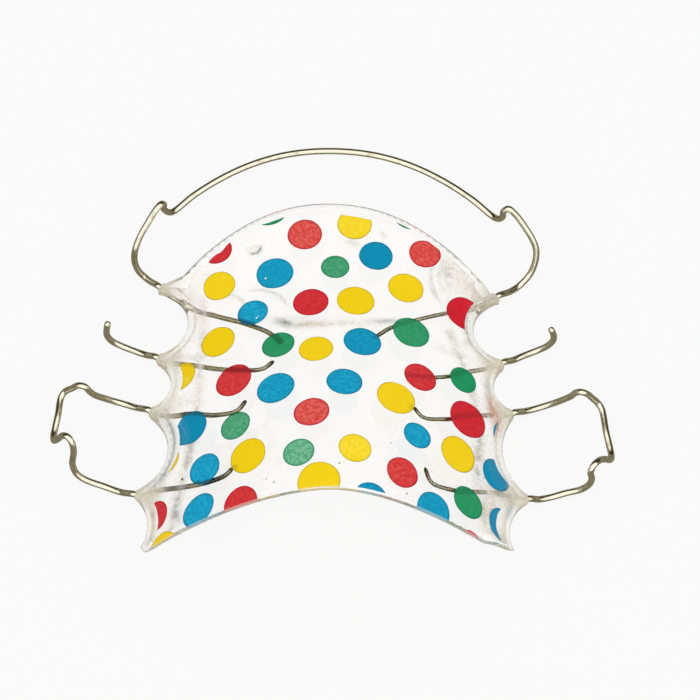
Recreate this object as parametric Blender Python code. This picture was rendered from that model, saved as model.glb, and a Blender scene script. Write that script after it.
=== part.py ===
"""Upper Hawley retainer with a clear baseplate and a polka-dot film.

The retainer lies with its palate side up, the way it sits in the upper jaw. +Y is the front of
the mouth, +X the wearer's right, and z = 0 is the level of the wires where they cross between
the teeth. All sizes are in metres. Rows of places are written in millimetres and scaled by MM.
"""

import math

import bpy
from mathutils import Vector
from mathutils.geometry import delaunay_2d_cdt

MM = 0.001

# Wires
WIRE_DIAMETER = 0.7 * MM
WIRE_RADIUS = WIRE_DIAMETER / 2
WIRE_STEP = 1.0 * MM
CHANNEL_CLEARANCE = 0.25 * MM
CHANNEL_STEP = 1.9 * MM

# Baseplate thickness and its edges
PLATE_THICKNESS = 2.4 * MM
REAR_THICKNESS = 0.8 * MM
REAR_TAPER = 6.0 * MM
EDGE_ROUND = 0.3 * MM
RIM_TOP = 2.9 * MM
RIM_BOTTOM = 1.0 * MM
TOOTH_WALL = 2.6 * MM

# Vault of the palate
RIM_LEVEL = 4.2 * MM
VAULT_RISE = 10.8 * MM
VAULT_PEAK = 41.0 * MM
ARCH_LENGTH = 37.0 * MM
ARCH_HALF_WIDTH = 18.5 * MM
ARCH_POWER = 1.72
SECTION_POWER = 1.7
MIDLINE_ROUND = 2.0 * MM

# Front edge behind the incisors, and the rear border
FRONT_Y = 17.3 * MM
FRONT_FALL = 8.0 * MM
FRONT_HALF_WIDTH = 15.5 * MM
FRONT_END = 16.4 * MM
FRONT_POWER = 2.15
FRONT_SKEW = -0.03
REAR_Y = -21.1 * MM
REAR_HALF_WIDTH = 19.5 * MM
# How far the rear border falls back on each side, and how soon
LEFT_REAR_DIP = 2.55 * MM
LEFT_REAR_POWER = 2.4
RIGHT_REAR_DIP = 3.9 * MM
RIGHT_REAR_POWER = 1.6

# Noses of acrylic that reach between the teeth, each with a wire coming out of its tip:
# tip x, tip y, and the way it points in degrees
NOSE_RADIUS = 0.9 * MM
NOSE_SWEEP = 65
LEFT_NOSES = ((-18.9, 7.7, 145), (-19.0, -0.7, 155), (-19.7, -6.9, 155), (-20.8, -16.6, 168))
RIGHT_NOSES = ((18.1, 6.5, 40), (18.3, -1.3, 30), (19.3, -7.2, 22), (20.8, -17.1, 8))
# How deep each tooth bites into the line between two noses, the last one behind the molar clasp
LEFT_BITES = (2.9, 1.5, 2.1, 0.9)
RIGHT_BITES = (2.6, 1.2, 1.6, 1.0)
LEFT_CORNER = (-19.9, -23.2)
RIGHT_CORNER = (19.2, -23.5)
# Where the rear border turns off straight to the right corner
RIGHT_CORNER_REACH = 3.3 * MM

# Seat of the printed film in the palate side
FILM_MARGIN = 0.85 * MM
FILM_REAR_MARGIN = 0.45 * MM
SEAT_RAMP = 0.2 * MM
DOT_THICKNESS = 0.15 * MM
DOT_GAP = 0.25 * MM
SEAT_DEPTH = DOT_THICKNESS + DOT_GAP
DOT_SIDES = 18
# A point of the moved border that ends up nearer to the plate's edge than this share of its
# margin has crossed over another stretch, and is left out
CROSSED_SHARE = 0.98

# Labial bow across the front teeth
BOW_STANDOFF = 5.8 * MM
BOW_FALL = 6.0 * MM
BOW_HALF_WIDTH = 15.6 * MM
BOW_END = 17.6 * MM
BOW_SKEW = -0.02
BOW_HEIGHT = 4.4 * MM
BOW_STEPS = 14

# Embedded ends of the wires, from the tip towards the nose: x, y
LEFT_BOW_TAG = ((-5.1, -0.4), (-6.2, 0.7), (-9.1, 1.9), (-12.1, 3.2), (-14.6, 4.6), (-16.6, 6.0))
RIGHT_BOW_TAG = ((4.8, -0.1), (6.3, 0.9), (9.0, 2.3), (12.3, 3.8), (14.7, 4.8))
LEFT_HOOK_TAG = ((-6.5, -3.5), (-7.4, -4.4), (-9.8, -4.1), (-12.4, -3.2), (-15.2, -2.1))
RIGHT_HOOK_TAG = ((7.8, -3.4), (8.8, -4.6), (10.7, -4.8), (12.7, -4.1), (15.2, -2.8))
LEFT_MESIAL_TAG = ((-9.2, -8.5), (-9.9, -9.4), (-12.0, -9.4), (-14.4, -8.7), (-17.0, -7.9))
LEFT_DISTAL_TAG = ((-10.1, -16.3), (-11.0, -17.1), (-13.2, -17.3), (-15.6, -17.0), (-18.0, -16.6))
RIGHT_MESIAL_TAG = ((8.6, -9.5), (9.4, -10.5), (11.5, -10.1), (14.0, -9.1), (16.6, -8.0))
RIGHT_DISTAL_TAG = ((9.4, -16.9), (10.2, -18.1), (12.4, -18.4), (14.8, -18.0), (17.4, -17.4))

# Free wire outside the acrylic: x, y, and the height of the wire's middle over the level on
# which the crossings lie, so a row with 0 rests on that level
LEFT_BOW_LOOP = (
    (-19.9, 8.8, 0.5),
    (-20.5, 9.5, 0.0),
    (-21.2, 9.9, 0.8),
    (-21.6, 10.4, 2.3),
    (-21.5, 11.0, 3.7),
    (-20.9, 12.0, 5.2),
    (-20.0, 13.0, 6.6),
    (-19.2, 13.9, 7.6),
    (-18.6, 14.6, 7.8),
    (-18.3, 15.0, 6.9),
    (-18.4, 15.3, 5.2),
)
RIGHT_BOW_LOOP = (
    (19.2, 7.6, 0.5),
    (20.2, 8.5, 0.0),
    (21.3, 9.4, 0.8),
    (21.9, 10.3, 2.1),
    (22.0, 11.2, 3.4),
    (21.6, 11.9, 4.5),
    (20.7, 12.8, 5.9),
    (19.7, 13.6, 7.2),
    (18.9, 14.0, 7.9),
    (18.4, 14.1, 7.1),
    (18.3, 14.3, 5.2),
)
LEFT_HOOK = (
    (-20.2, 0.1, 0.4),
    (-21.4, 0.7, 0.0),
    (-22.8, 1.2, 0.2),
    (-23.9, 1.5, 0.9),
    (-24.4, 1.7, 2.0),
    (-24.4, 1.9, 3.0),
    (-24.2, 2.3, 4.2),
)
RIGHT_HOOK = (
    (19.4, -0.5, 0.4),
    (20.6, 0.2, 0.0),
    (22.0, 0.7, 0.2),
    (23.1, 0.9, 1.0),
    (23.7, 1.1, 2.1),
    (23.7, 1.3, 3.1),
    (23.3, 1.6, 4.2),
)
LEFT_ADAMS = (
    (-21.1, -6.1, 0.4),
    (-22.5, -5.5, 0.0),
    (-24.2, -5.3, 0.8),
    (-25.4, -5.5, 2.3),
    (-26.0, -5.8, 4.2),
    (-26.4, -5.9, 5.6),
    (-27.0, -5.7, 5.5),
    (-27.9, -5.4, 4.0),
    (-28.7, -5.3, 2.9),
    (-29.1, -5.8, 2.6),
    (-29.4, -8.0, 2.6),
    (-29.8, -10.4, 2.6),
    (-29.7, -11.0, 3.0),
    (-29.2, -11.3, 4.1),
    (-28.6, -11.4, 5.3),
    (-28.0, -11.8, 5.8),
    (-27.6, -12.3, 5.3),
    (-27.5, -12.8, 4.0),
    (-27.7, -13.5, 2.4),
    (-27.3, -14.1, 1.2),
    (-26.4, -14.5, 0.5),
    (-24.6, -15.0, 0.0),
    (-22.6, -15.8, 0.2),
)
RIGHT_ADAMS = (
    (20.6, -6.5, 0.4),
    (21.9, -6.0, 0.0),
    (23.3, -5.7, 0.4),
    (24.4, -5.7, 1.4),
    (25.4, -6.0, 3.3),
    (25.9, -6.3, 5.0),
    (26.4, -6.6, 5.8),
    (27.0, -6.6, 5.3),
    (27.6, -6.5, 4.0),
    (28.3, -6.6, 2.8),
    (28.7, -7.2, 2.6),
    (29.1, -9.8, 2.6),
    (29.6, -12.7, 2.6),
    (29.4, -13.3, 3.2),
    (28.8, -13.7, 4.3),
    (28.1, -14.3, 5.4),
    (27.5, -15.0, 5.8),
    (27.2, -15.5, 5.1),
    (27.4, -15.6, 3.4),
    (27.1, -15.7, 1.9),
    (26.3, -15.8, 0.9),
    (24.8, -15.9, 0.2),
    (23.2, -16.3, 0.0),
    (21.9, -16.7, 0.4),
)

# The printed dots, by colour: x, y, diameter
DOTS = {
    "red": (
        (-3.1, 12.8, 3.8), (9.9, 10.7, 3.5), (-12.9, 11.4, 3.4), (-2.4, 3.7, 3.9),
        (14.0, 3.8, 3.9), (9.2, -5.7, 3.7), (-10.5, -5.8, 4.2), (14.2, -9.8, 4.5),
        (-2.2, -11.5, 3.8), (7.2, -18.3, 3.6), (-9.5, -21.5, 4.2), (-18.7, -19.6, 3.3),
    ),
    "yellow": (
        (2.3, 14.1, 3.8), (-12.3, 6.9, 3.6), (7.8, 6.1, 3.9), (2.4, 3.9, 4.1),
        (-12.3, -0.3, 3.9), (-1.8, -2.9, 3.7), (-16.1, -3.7, 3.3), (6.6, -9.0, 4.3),
        (13.1, -14.5, 4.3), (-8.8, -15.9, 4.2), (2.3, -16.1, 3.5), (-17.6, -13.3, 3.0),
        (-1.4, -20.1, 4.5), (-17.7, -23.9, 4.4),
    ),
    "blue": (
        (4.6, 10.1, 3.7), (-6.3, 7.9, 4.1), (-8.6, 2.9, 3.4), (3.1, -1.8, 4.1),
        (1.2, -7.5, 3.8), (-6.0, -7.8, 4.2), (-15.0, -10.6, 4.0), (8.8, -13.4, 3.2),
        (17.2, -15.5, 3.8), (-13.4, -16.2, 3.6), (-14.0, -20.8, 3.8), (18.1, -20.8, 3.6),
        (10.4, -21.9, 4.1), (3.9, -21.9, 3.7),
    ),
    "green": (
        (0.2, 8.5, 3.1), (8.3, 0.2, 4.1), (-5.8, -1.9, 3.6), (13.8, -4.9, 3.2),
        (-10.2, -11.8, 3.5), (-3.5, -16.5, 3.4), (14.1, -19.9, 3.6),
    ),
}

# Spacing of the mesh points over the plate, and how far they keep from the film's seat
MESH_SPACING = 1.7 * MM
MESH_MARGIN = 0.5 * MM
REAR_STEPS = 20
FRONT_STEPS = 22
NOSE_STEPS = 4
BITE_STEPS = 6
RIM_DEGREES = (45, 0, -45)
# Points nearer than this are one point
SAME_POINT = 0.0001 * MM
# Distance over which a surface's slope is taken
SLOPE_REACH = 0.3 * MM
# Turn of a wire, in degrees, from which a stretch gets a point half-way, and the least angle
# between two faces that is left sharp
TURN_LIMIT = 45
SHARP_ANGLE = 40

COLOURS = {
    "red": (0.62, 0.02, 0.035),
    "yellow": (0.90, 0.62, 0.01),
    "blue": (0.0, 0.24, 0.56),
    "green": (0.005, 0.26, 0.10),
}
ACRYLIC_COLOUR = (0.93, 0.92, 0.88)
STEEL_COLOUR = (0.62, 0.60, 0.46)


def clear_scene():
    for item in list(bpy.data.objects):
        bpy.data.objects.remove(item, do_unlink=True)


def make_material(name, colour, roughness, metallic=0.0, alpha=1.0):
    material = bpy.data.materials.new(name)
    material.use_nodes = True
    shader = material.node_tree.nodes["Principled BSDF"]
    shader.inputs["Base Color"].default_value = (*colour, 1.0)
    shader.inputs["Roughness"].default_value = roughness
    shader.inputs["Metallic"].default_value = metallic
    shader.inputs["Alpha"].default_value = alpha
    return material


def nose_centre(row):
    x, y, heading = row
    angle = math.radians(heading)
    return (x * MM - NOSE_RADIUS * math.cos(angle), y * MM - NOSE_RADIUS * math.sin(angle))


def nose_arc(row):
    """Round end of one nose, anticlockwise seen from above."""
    centre_x, centre_y = nose_centre(row)
    points = []
    for step in range(NOSE_STEPS + 1):
        angle = math.radians(row[2] + NOSE_SWEEP * (2 * step / NOSE_STEPS - 1))
        points.append((centre_x + NOSE_RADIUS * math.cos(angle),
                       centre_y + NOSE_RADIUS * math.sin(angle)))
    return points


def bite_arc(start, end, depth):
    """Points between start and end on an arc that bites into the plate, which lies on the left."""
    span_x = end[0] - start[0]
    span_y = end[1] - start[1]
    span = math.hypot(span_x, span_y)
    inward_x = -span_y / span
    inward_y = span_x / span
    radius = (span * span / 4 + depth * depth) / (2 * depth)
    middle_x = (start[0] + end[0]) / 2 - inward_x * (radius - depth)
    middle_y = (start[1] + end[1]) / 2 - inward_y * (radius - depth)
    half_turn = math.asin(min(1.0, span / (2 * radius)))
    if depth > span / 2:
        half_turn = math.pi - half_turn
    points = []
    for step in range(1, BITE_STEPS):
        turn = half_turn * (2 * step / BITE_STEPS - 1)
        across = radius * math.cos(turn)
        along = radius * math.sin(turn)
        points.append((middle_x + inward_x * across + span_x / span * along,
                       middle_y + inward_y * across + span_y / span * along))
    return points


def front_edge(x):
    return FRONT_Y - FRONT_FALL * (abs(x) / FRONT_HALF_WIDTH) ** FRONT_POWER + FRONT_SKEW * x


def rear_edge(x):
    if x < 0:
        return REAR_Y - LEFT_REAR_DIP * (-x / REAR_HALF_WIDTH) ** LEFT_REAR_POWER
    return REAR_Y - RIGHT_REAR_DIP * (x / REAR_HALF_WIDTH) ** RIGHT_REAR_POWER


def left_side():
    """From the bow's nose back to the rear corner."""
    arcs = [nose_arc(row) for row in LEFT_NOSES]
    corner = (LEFT_CORNER[0] * MM, LEFT_CORNER[1] * MM)
    points = []
    for arc, following, bite in zip(arcs, arcs[1:] + [[corner]], LEFT_BITES):
        points += arc
        points += bite_arc(arc[-1], following[0], bite * MM)
    points.append(corner)
    return points


def right_side():
    """From the rear corner forward to the bow's nose."""
    arcs = [nose_arc(row) for row in RIGHT_NOSES]
    corner = (RIGHT_CORNER[0] * MM, RIGHT_CORNER[1] * MM)
    points = [corner]
    behind = corner
    for arc, bite in zip(reversed(arcs), reversed(RIGHT_BITES)):
        points += bite_arc(behind, arc[0], bite * MM)
        points += arc
        behind = arc[-1]
    return points


def rear_line():
    start = LEFT_CORNER[0] * MM
    width = RIGHT_CORNER[0] * MM - RIGHT_CORNER_REACH - start
    stations = [start + width * step / REAR_STEPS for step in range(1, REAR_STEPS + 1)]
    return [(x, rear_edge(x)) for x in stations]


def front_line():
    stations = [FRONT_END - 2 * FRONT_END * step / FRONT_STEPS for step in range(FRONT_STEPS + 1)]
    return [(x, front_edge(x)) for x in stations]


TOOTH_LINE = right_side() + front_line() + left_side()
REAR_LINE = [TOOTH_LINE[-1]] + rear_line() + [TOOTH_LINE[0]]
OUTLINE = TOOTH_LINE + rear_line()


def distance_to(line, x, y):
    nearest = 1.0
    for (ax, ay), (bx, by) in zip(line, line[1:]):
        run_x = bx - ax
        run_y = by - ay
        share = ((x - ax) * run_x + (y - ay) * run_y) / (run_x * run_x + run_y * run_y)
        share = min(1.0, max(0.0, share))
        nearest = min(nearest, math.hypot(x - ax - share * run_x, y - ay - share * run_y))
    return nearest


def ease(share):
    share = min(1.0, max(0.0, share))
    return share * share * (3 - 2 * share)


def vault_height(x, y):
    """The palate: low behind the incisors, rising backwards, round from side to side."""
    back = max(FRONT_Y - y, 0.0)
    rise = VAULT_RISE * math.sin(math.pi / 2 * min(back / VAULT_PEAK, 1.0)) ** 2
    forward = 1 - min(back / ARCH_LENGTH, 1.0)
    half_width = ARCH_HALF_WIDTH * (1 - forward ** ARCH_POWER) ** (1 / ARCH_POWER)
    across = math.hypot(x, MIDLINE_ROUND) / max(half_width, MIDLINE_ROUND)
    return RIM_LEVEL + rise * (1 - across ** SECTION_POWER)


def slopes(height, x, y):
    span = 2 * SLOPE_REACH
    return ((height(x + SLOPE_REACH, y) - height(x - SLOPE_REACH, y)) / span,
            (height(x, y + SLOPE_REACH) - height(x, y - SLOPE_REACH)) / span)


def slant(height, x, y):
    """Length of the surface's normal over one of plan, which turns a wall into a height."""
    return math.hypot(1, *slopes(height, x, y))


def wall_share(x, y):
    """0 at the edge against the teeth, 1 where the wall has risen to the palate."""
    share = min(1.0, distance_to(TOOTH_LINE, x, y) / TOOTH_WALL)
    return share * (2 - share)


def palate_side(x, y):
    return RIM_TOP + (vault_height(x, y) - RIM_TOP) * wall_share(x, y)


def seat_share(x, y):
    """0 outside the film's seat and 1 on its floor."""
    side = (distance_to(TOOTH_LINE, x, y) - FILM_MARGIN) / SEAT_RAMP
    rear = (distance_to(REAR_LINE, x, y) - FILM_REAR_MARGIN) / SEAT_RAMP
    return min(1.0, max(0.0, min(side, rear)))


def seat_side(x, y):
    return palate_side(x, y) - SEAT_DEPTH * slant(palate_side, x, y) * seat_share(x, y)


def tongue_side(x, y):
    taper = ease(1 - distance_to(REAR_LINE, x, y) / REAR_TAPER)
    thickness = PLATE_THICKNESS - (PLATE_THICKNESS - REAR_THICKNESS) * taper
    under = vault_height(x, y) - thickness * slant(vault_height, x, y)
    rim = RIM_BOTTOM + (RIM_TOP - REAR_THICKNESS - RIM_BOTTOM) * taper
    return rim + (under - rim) * wall_share(x, y)


def wire_level(x, y):
    """Half-way between the film's seat and the tongue side."""
    return (seat_side(x, y) + tongue_side(x, y)) / 2


def inside(loop, x, y):
    crossings = 0
    for (ax, ay), (bx, by) in zip(loop, loop[1:] + loop[:1]):
        if (ay > y) != (by > y) and x < ax + (bx - ax) * (y - ay) / (by - ay):
            crossings += 1
    return crossings % 2 == 1


def inset_loop(loop, distance):
    """The closed loop moved in by distance along its corners' own directions."""
    moved = []
    for (ax, ay), (bx, by), (cx, cy) in zip(loop[-1:] + loop[:-1], loop, loop[1:] + loop[:1]):
        first = Vector((bx - ax, by - ay)).normalized()
        second = Vector((cx - bx, cy - by)).normalized()
        along = (first + second).normalized()
        moved.append((bx - along.y * distance, by + along.x * distance))
    return moved


def film_loop(extra):
    """Border line of the film's seat, moved in by extra, without the points that cross over."""
    side = FILM_MARGIN + extra
    rear = FILM_REAR_MARGIN + extra
    moved = inset_loop(OUTLINE, side)[:len(TOOTH_LINE)] + inset_loop(OUTLINE, rear)[len(TOOTH_LINE):]
    points = []
    for x, y in moved:
        clear_side = distance_to(TOOTH_LINE, x, y) > side * CROSSED_SHARE
        clear_rear = distance_to(REAR_LINE, x, y) > rear * CROSSED_SHARE
        if clear_side and clear_rear and inside(OUTLINE, x, y):
            points.append((x, y))
    return points


def triangulate(loops, spots):
    """Triangles over the plan of some closed loops and loose spots, with the loops as edges.

    Gives the points, the faces and the place of each corner of the first loop.
    """
    points = []
    edges = []
    for loop in loops:
        first = len(points)
        points += loop
        edges += [(first + place, first + (place + 1) % len(loop)) for place in range(len(loop))]
    points += spots
    plan = [Vector(point) / MM for point in points]
    places, _, faces, sources, _, _ = delaunay_2d_cdt(plan, edges, [], 0, SAME_POINT / MM)
    first_loop = [0] * len(loops[0])
    for place, source in enumerate(sources):
        for number in source:
            if number < len(first_loop):
                first_loop[number] = place
    points = [(point.x * MM, point.y * MM) for point in places]
    return points, [tuple(face) for face in faces], first_loop


def honeycomb(spacing, margin):
    """Evenly spread spots that keep this margin from the plate's edges."""
    spots = []
    row_height = spacing * math.sqrt(3) / 2
    reach = max(max(abs(x), abs(y)) for x, y in OUTLINE)
    rows = math.ceil(reach / row_height)
    columns = math.ceil(reach / spacing)
    for row in range(-rows, rows + 1):
        for column in range(-columns, columns + 1):
            x = (column + (row % 2) / 2) * spacing
            y = row * row_height
            clear = min(distance_to(TOOTH_LINE, x, y), distance_to(REAR_LINE, x, y)) > margin
            if clear and inside(OUTLINE, x, y):
                spots.append((x, y))
    return spots


def face_centre(points, face):
    return (sum(points[corner][0] for corner in face) / len(face),
            sum(points[corner][1] for corner in face) / len(face))


def add_object(name, vertices, faces, material):
    mesh = bpy.data.meshes.new(name)
    mesh.from_pydata(vertices, [], faces)
    mesh.validate()
    mesh.shade_smooth()
    mesh.set_sharp_from_angle(angle=math.radians(SHARP_ANGLE))
    mesh.materials.append(material)
    item = bpy.data.objects.new(name, mesh)
    bpy.context.collection.objects.link(item)
    return item


def border_of(faces):
    """Edges that belong to one face only, in that face's direction."""
    sides = set()
    for face in faces:
        for start, end in zip(face, face[1:] + face[:1]):
            sides.add((start, end))
    return [(start, end) for start, end in sides if (end, start) not in sides]


def upward(points, face):
    (ax, ay), (bx, by), (cx, cy) = (points[corner] for corner in face)
    turn = (bx - ax) * (cy - ay) - (by - ay) * (cx - ax)
    return face if turn > 0 else face[::-1]


def make_baseplate(material):
    """Two triangulated skins joined by a rounded rim."""
    skin_loop = inset_loop(OUTLINE, EDGE_ROUND)
    loops = [skin_loop, film_loop(0.0), film_loop(SEAT_RAMP)]
    spots = honeycomb(MESH_SPACING, FILM_MARGIN + SEAT_RAMP + MESH_MARGIN)
    points, faces, edge_corners = triangulate(loops, spots)
    faces = [face for face in faces if inside(skin_loop, *face_centre(points, face))]
    faces = [upward(points, face) for face in faces]
    count = len(points)
    vertices = [(x, y, seat_side(x, y)) for x, y in points]
    vertices += [(x, y, tongue_side(x, y)) for x, y in points]
    solid = list(faces)
    solid += [tuple(corner + count for corner in reversed(face)) for face in faces]

    rings = [edge_corners]
    for degrees in RIM_DEGREES:
        angle = math.radians(degrees)
        ring = []
        ring_loop = inset_loop(OUTLINE, EDGE_ROUND * (1 - math.cos(angle)))
        for corner, (x, y) in zip(edge_corners, ring_loop):
            upper = vertices[corner][2]
            lower = vertices[corner + count][2]
            ring.append(len(vertices))
            vertices.append((x, y, (upper + lower) / 2 + (upper - lower) / 2 * math.sin(angle)))
        rings.append(ring)
    rings.append([corner + count for corner in edge_corners])
    for upper, lower in zip(rings, rings[1:]):
        for place in range(len(upper)):
            following = (place + 1) % len(upper)
            solid.append((upper[place], lower[place], lower[following], upper[following]))
    return add_object("baseplate", vertices, solid, material)


def make_dot(name, row, border, material):
    """One printed dot: a round wafer on the film's seat, cut where it meets the film's border."""
    x, y, diameter = (value * MM for value in row)
    slope_x, slope_y = slopes(vault_height, x, y)
    normal = Vector((-slope_x, -slope_y, 1.0)).normalized()
    side = Vector((0.0, 1.0, 0.0)).cross(normal).normalized()
    fore = normal.cross(side)
    circle = []
    for step in range(DOT_SIDES):
        angle = 2 * math.pi * step / DOT_SIDES
        offset = (side * math.cos(angle) + fore * math.sin(angle)) * diameter / 2
        circle.append((x + offset.x, y + offset.y))
    cut = not all(inside(border, *corner) for corner in circle)
    points, faces, _ = triangulate([circle, border] if cut else [circle], [(x, y)])
    kept = []
    for face in faces:
        middle = face_centre(points, face)
        if inside(circle, *middle) and inside(border, *middle):
            kept.append(upward(points, face))
    used = sorted({corner for face in kept for corner in face})
    index = {corner: place for place, corner in enumerate(used)}
    kept = [tuple(index[corner] for corner in face) for face in kept]
    count = len(used)
    vertices = []
    for lift in (DOT_THICKNESS, 0.0):
        for corner in used:
            px, py = points[corner]
            drop = (DOT_THICKNESS - lift) * slant(palate_side, px, py)
            vertices.append((px, py, palate_side(px, py) - drop))
    solid = list(kept)
    solid += [tuple(corner + count for corner in reversed(face)) for face in kept]
    solid += [(end, start, start + count, end + count) for start, end in border_of(kept)]
    return add_object(name, vertices, solid, material)


def smooth_path(rows, step):
    """Points about step apart on a smooth curve through the rows."""
    spots = [Vector(row) for row in rows]
    spots = [spots[0] * 2 - spots[1]] + spots + [spots[-1] * 2 - spots[-2]]
    path = []
    for before, start, end, after in zip(spots, spots[1:], spots[2:], spots[3:]):
        pieces = max(1, round((end - start).length / step))
        turn = (start - before).angle(end - start) + (end - start).angle(after - end)
        if turn > math.radians(TURN_LIMIT):
            pieces = max(pieces, 2)
        first_knot = (start - before).length ** 0.5
        second_knot = first_knot + (end - start).length ** 0.5
        third_knot = second_knot + (after - end).length ** 0.5
        for piece in range(pieces):
            knot = first_knot + (second_knot - first_knot) * piece / pieces
            low = before.lerp(start, knot / first_knot)
            middle = start.lerp(end, (knot - first_knot) / (second_knot - first_knot))
            high = end.lerp(after, (knot - second_knot) / (third_knot - second_knot))
            low_middle = low.lerp(middle, knot / second_knot)
            middle_high = middle.lerp(high, (knot - first_knot) / (third_knot - first_knot))
            share = (knot - first_knot) / (second_knot - first_knot)
            path.append(low_middle.lerp(middle_high, share))
    path.append(spots[-2])
    return path


def make_tube(name, path, radius, material=None):
    """A round wire along the path."""
    curve = bpy.data.curves.new(name, "CURVE")
    curve.dimensions = "3D"
    curve.bevel_depth = radius
    curve.bevel_resolution = 2
    curve.use_fill_caps = True
    spline = curve.splines.new("POLY")
    spline.points.add(len(path) - 1)
    for point, spot in zip(spline.points, path):
        point.co = (*spot, 1.0)
    spline.use_smooth = True
    if material:
        curve.materials.append(material)
    item = bpy.data.objects.new(name, curve)
    bpy.context.collection.objects.link(item)
    return item


def embedded(tag, nose):
    """The wire inside the plate, from its tip out to the tip of the nose."""
    rows = [(x * MM, y * MM) for x, y in tag] + [nose_centre(nose)]
    rows = [(x, y, wire_level(x, y)) for x, y in rows]
    rim_middle = (RIM_TOP + RIM_BOTTOM) / 2
    return rows + [(nose[0] * MM, nose[1] * MM, rim_middle)]


def free_wire(rows):
    return [(x * MM, y * MM, WIRE_RADIUS + height * MM) for x, y, height in rows]


def bow_arch():
    """The bow's round stretch over the front teeth, from left to right."""
    rows = []
    for step in range(BOW_STEPS + 1):
        x = BOW_END * (2 * step / BOW_STEPS - 1)
        fall = BOW_FALL * (abs(x) / BOW_HALF_WIDTH) ** FRONT_POWER
        rows.append((x, FRONT_Y + BOW_STANDOFF - fall + BOW_SKEW * x, BOW_HEIGHT))
    return rows


def cut_channel(plate, tag, nose, following):
    """Opens the plate round one embedded wire, out through the tip of its nose."""
    rows = embedded(tag, nose) + free_wire([following])
    tip = Vector(rows[0])
    rows[0] = tuple(tip + (tip - Vector(rows[1])).normalized() * CHANNEL_CLEARANCE)
    path = smooth_path(rows, CHANNEL_STEP)
    tube = make_tube("channel_tube", path, WIRE_RADIUS + CHANNEL_CLEARANCE)
    bpy.context.view_layer.update()
    evaluated = tube.evaluated_get(bpy.context.evaluated_depsgraph_get())
    cutter = bpy.data.objects.new("channel", bpy.data.meshes.new_from_object(evaluated))
    bpy.context.collection.objects.link(cutter)
    bpy.data.objects.remove(tube, do_unlink=True)
    cutter.hide_render = True
    cutter.display_type = "WIRE"
    cut = plate.modifiers.new("channel", "BOOLEAN")
    cut.operation = "DIFFERENCE"
    cut.solver = "EXACT"
    cut.object = cutter


def main():
    clear_scene()
    acrylic = make_material("clear_acrylic", ACRYLIC_COLOUR, 0.12, alpha=0.35)
    steel = make_material("stainless_wire", STEEL_COLOUR, 0.25, metallic=1.0)

    plate = make_baseplate(acrylic)

    bow = embedded(LEFT_BOW_TAG, LEFT_NOSES[0]) + free_wire(LEFT_BOW_LOOP) + bow_arch()
    bow += (embedded(RIGHT_BOW_TAG, RIGHT_NOSES[0]) + free_wire(RIGHT_BOW_LOOP))[::-1]
    make_tube("labial_bow", smooth_path(bow, WIRE_STEP), WIRE_RADIUS, steel)
    cut_channel(plate, LEFT_BOW_TAG, LEFT_NOSES[0], LEFT_BOW_LOOP[0])
    cut_channel(plate, RIGHT_BOW_TAG, RIGHT_NOSES[0], RIGHT_BOW_LOOP[0])

    for name, tag, nose, hook in (
        ("left_hook_clasp", LEFT_HOOK_TAG, LEFT_NOSES[1], LEFT_HOOK),
        ("right_hook_clasp", RIGHT_HOOK_TAG, RIGHT_NOSES[1], RIGHT_HOOK),
    ):
        path = smooth_path(embedded(tag, nose) + free_wire(hook), WIRE_STEP)
        make_tube(name, path, WIRE_RADIUS, steel)
        cut_channel(plate, tag, nose, hook[0])

    for name, mesial, distal, noses, clasp in (
        ("left_adams_clasp", LEFT_MESIAL_TAG, LEFT_DISTAL_TAG, LEFT_NOSES[2:], LEFT_ADAMS),
        ("right_adams_clasp", RIGHT_MESIAL_TAG, RIGHT_DISTAL_TAG, RIGHT_NOSES[2:], RIGHT_ADAMS),
    ):
        rows = embedded(mesial, noses[0]) + free_wire(clasp) + embedded(distal, noses[1])[::-1]
        make_tube(name, smooth_path(rows, WIRE_STEP), WIRE_RADIUS, steel)
        cut_channel(plate, mesial, noses[0], clasp[0])
        cut_channel(plate, distal, noses[1], clasp[-1])

    border = film_loop(SEAT_RAMP)
    for colour, rows in DOTS.items():
        ink = make_material("ink_" + colour, COLOURS[colour], 0.4)
        for number, row in enumerate(rows, 1):
            make_dot("dot_%s_%02d" % (colour, number), row, border, ink)


main()
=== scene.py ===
import math

import bmesh
import bpy
import numpy as np
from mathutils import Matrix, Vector, noise
from mathutils.geometry import delaunay_2d_cdt


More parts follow.
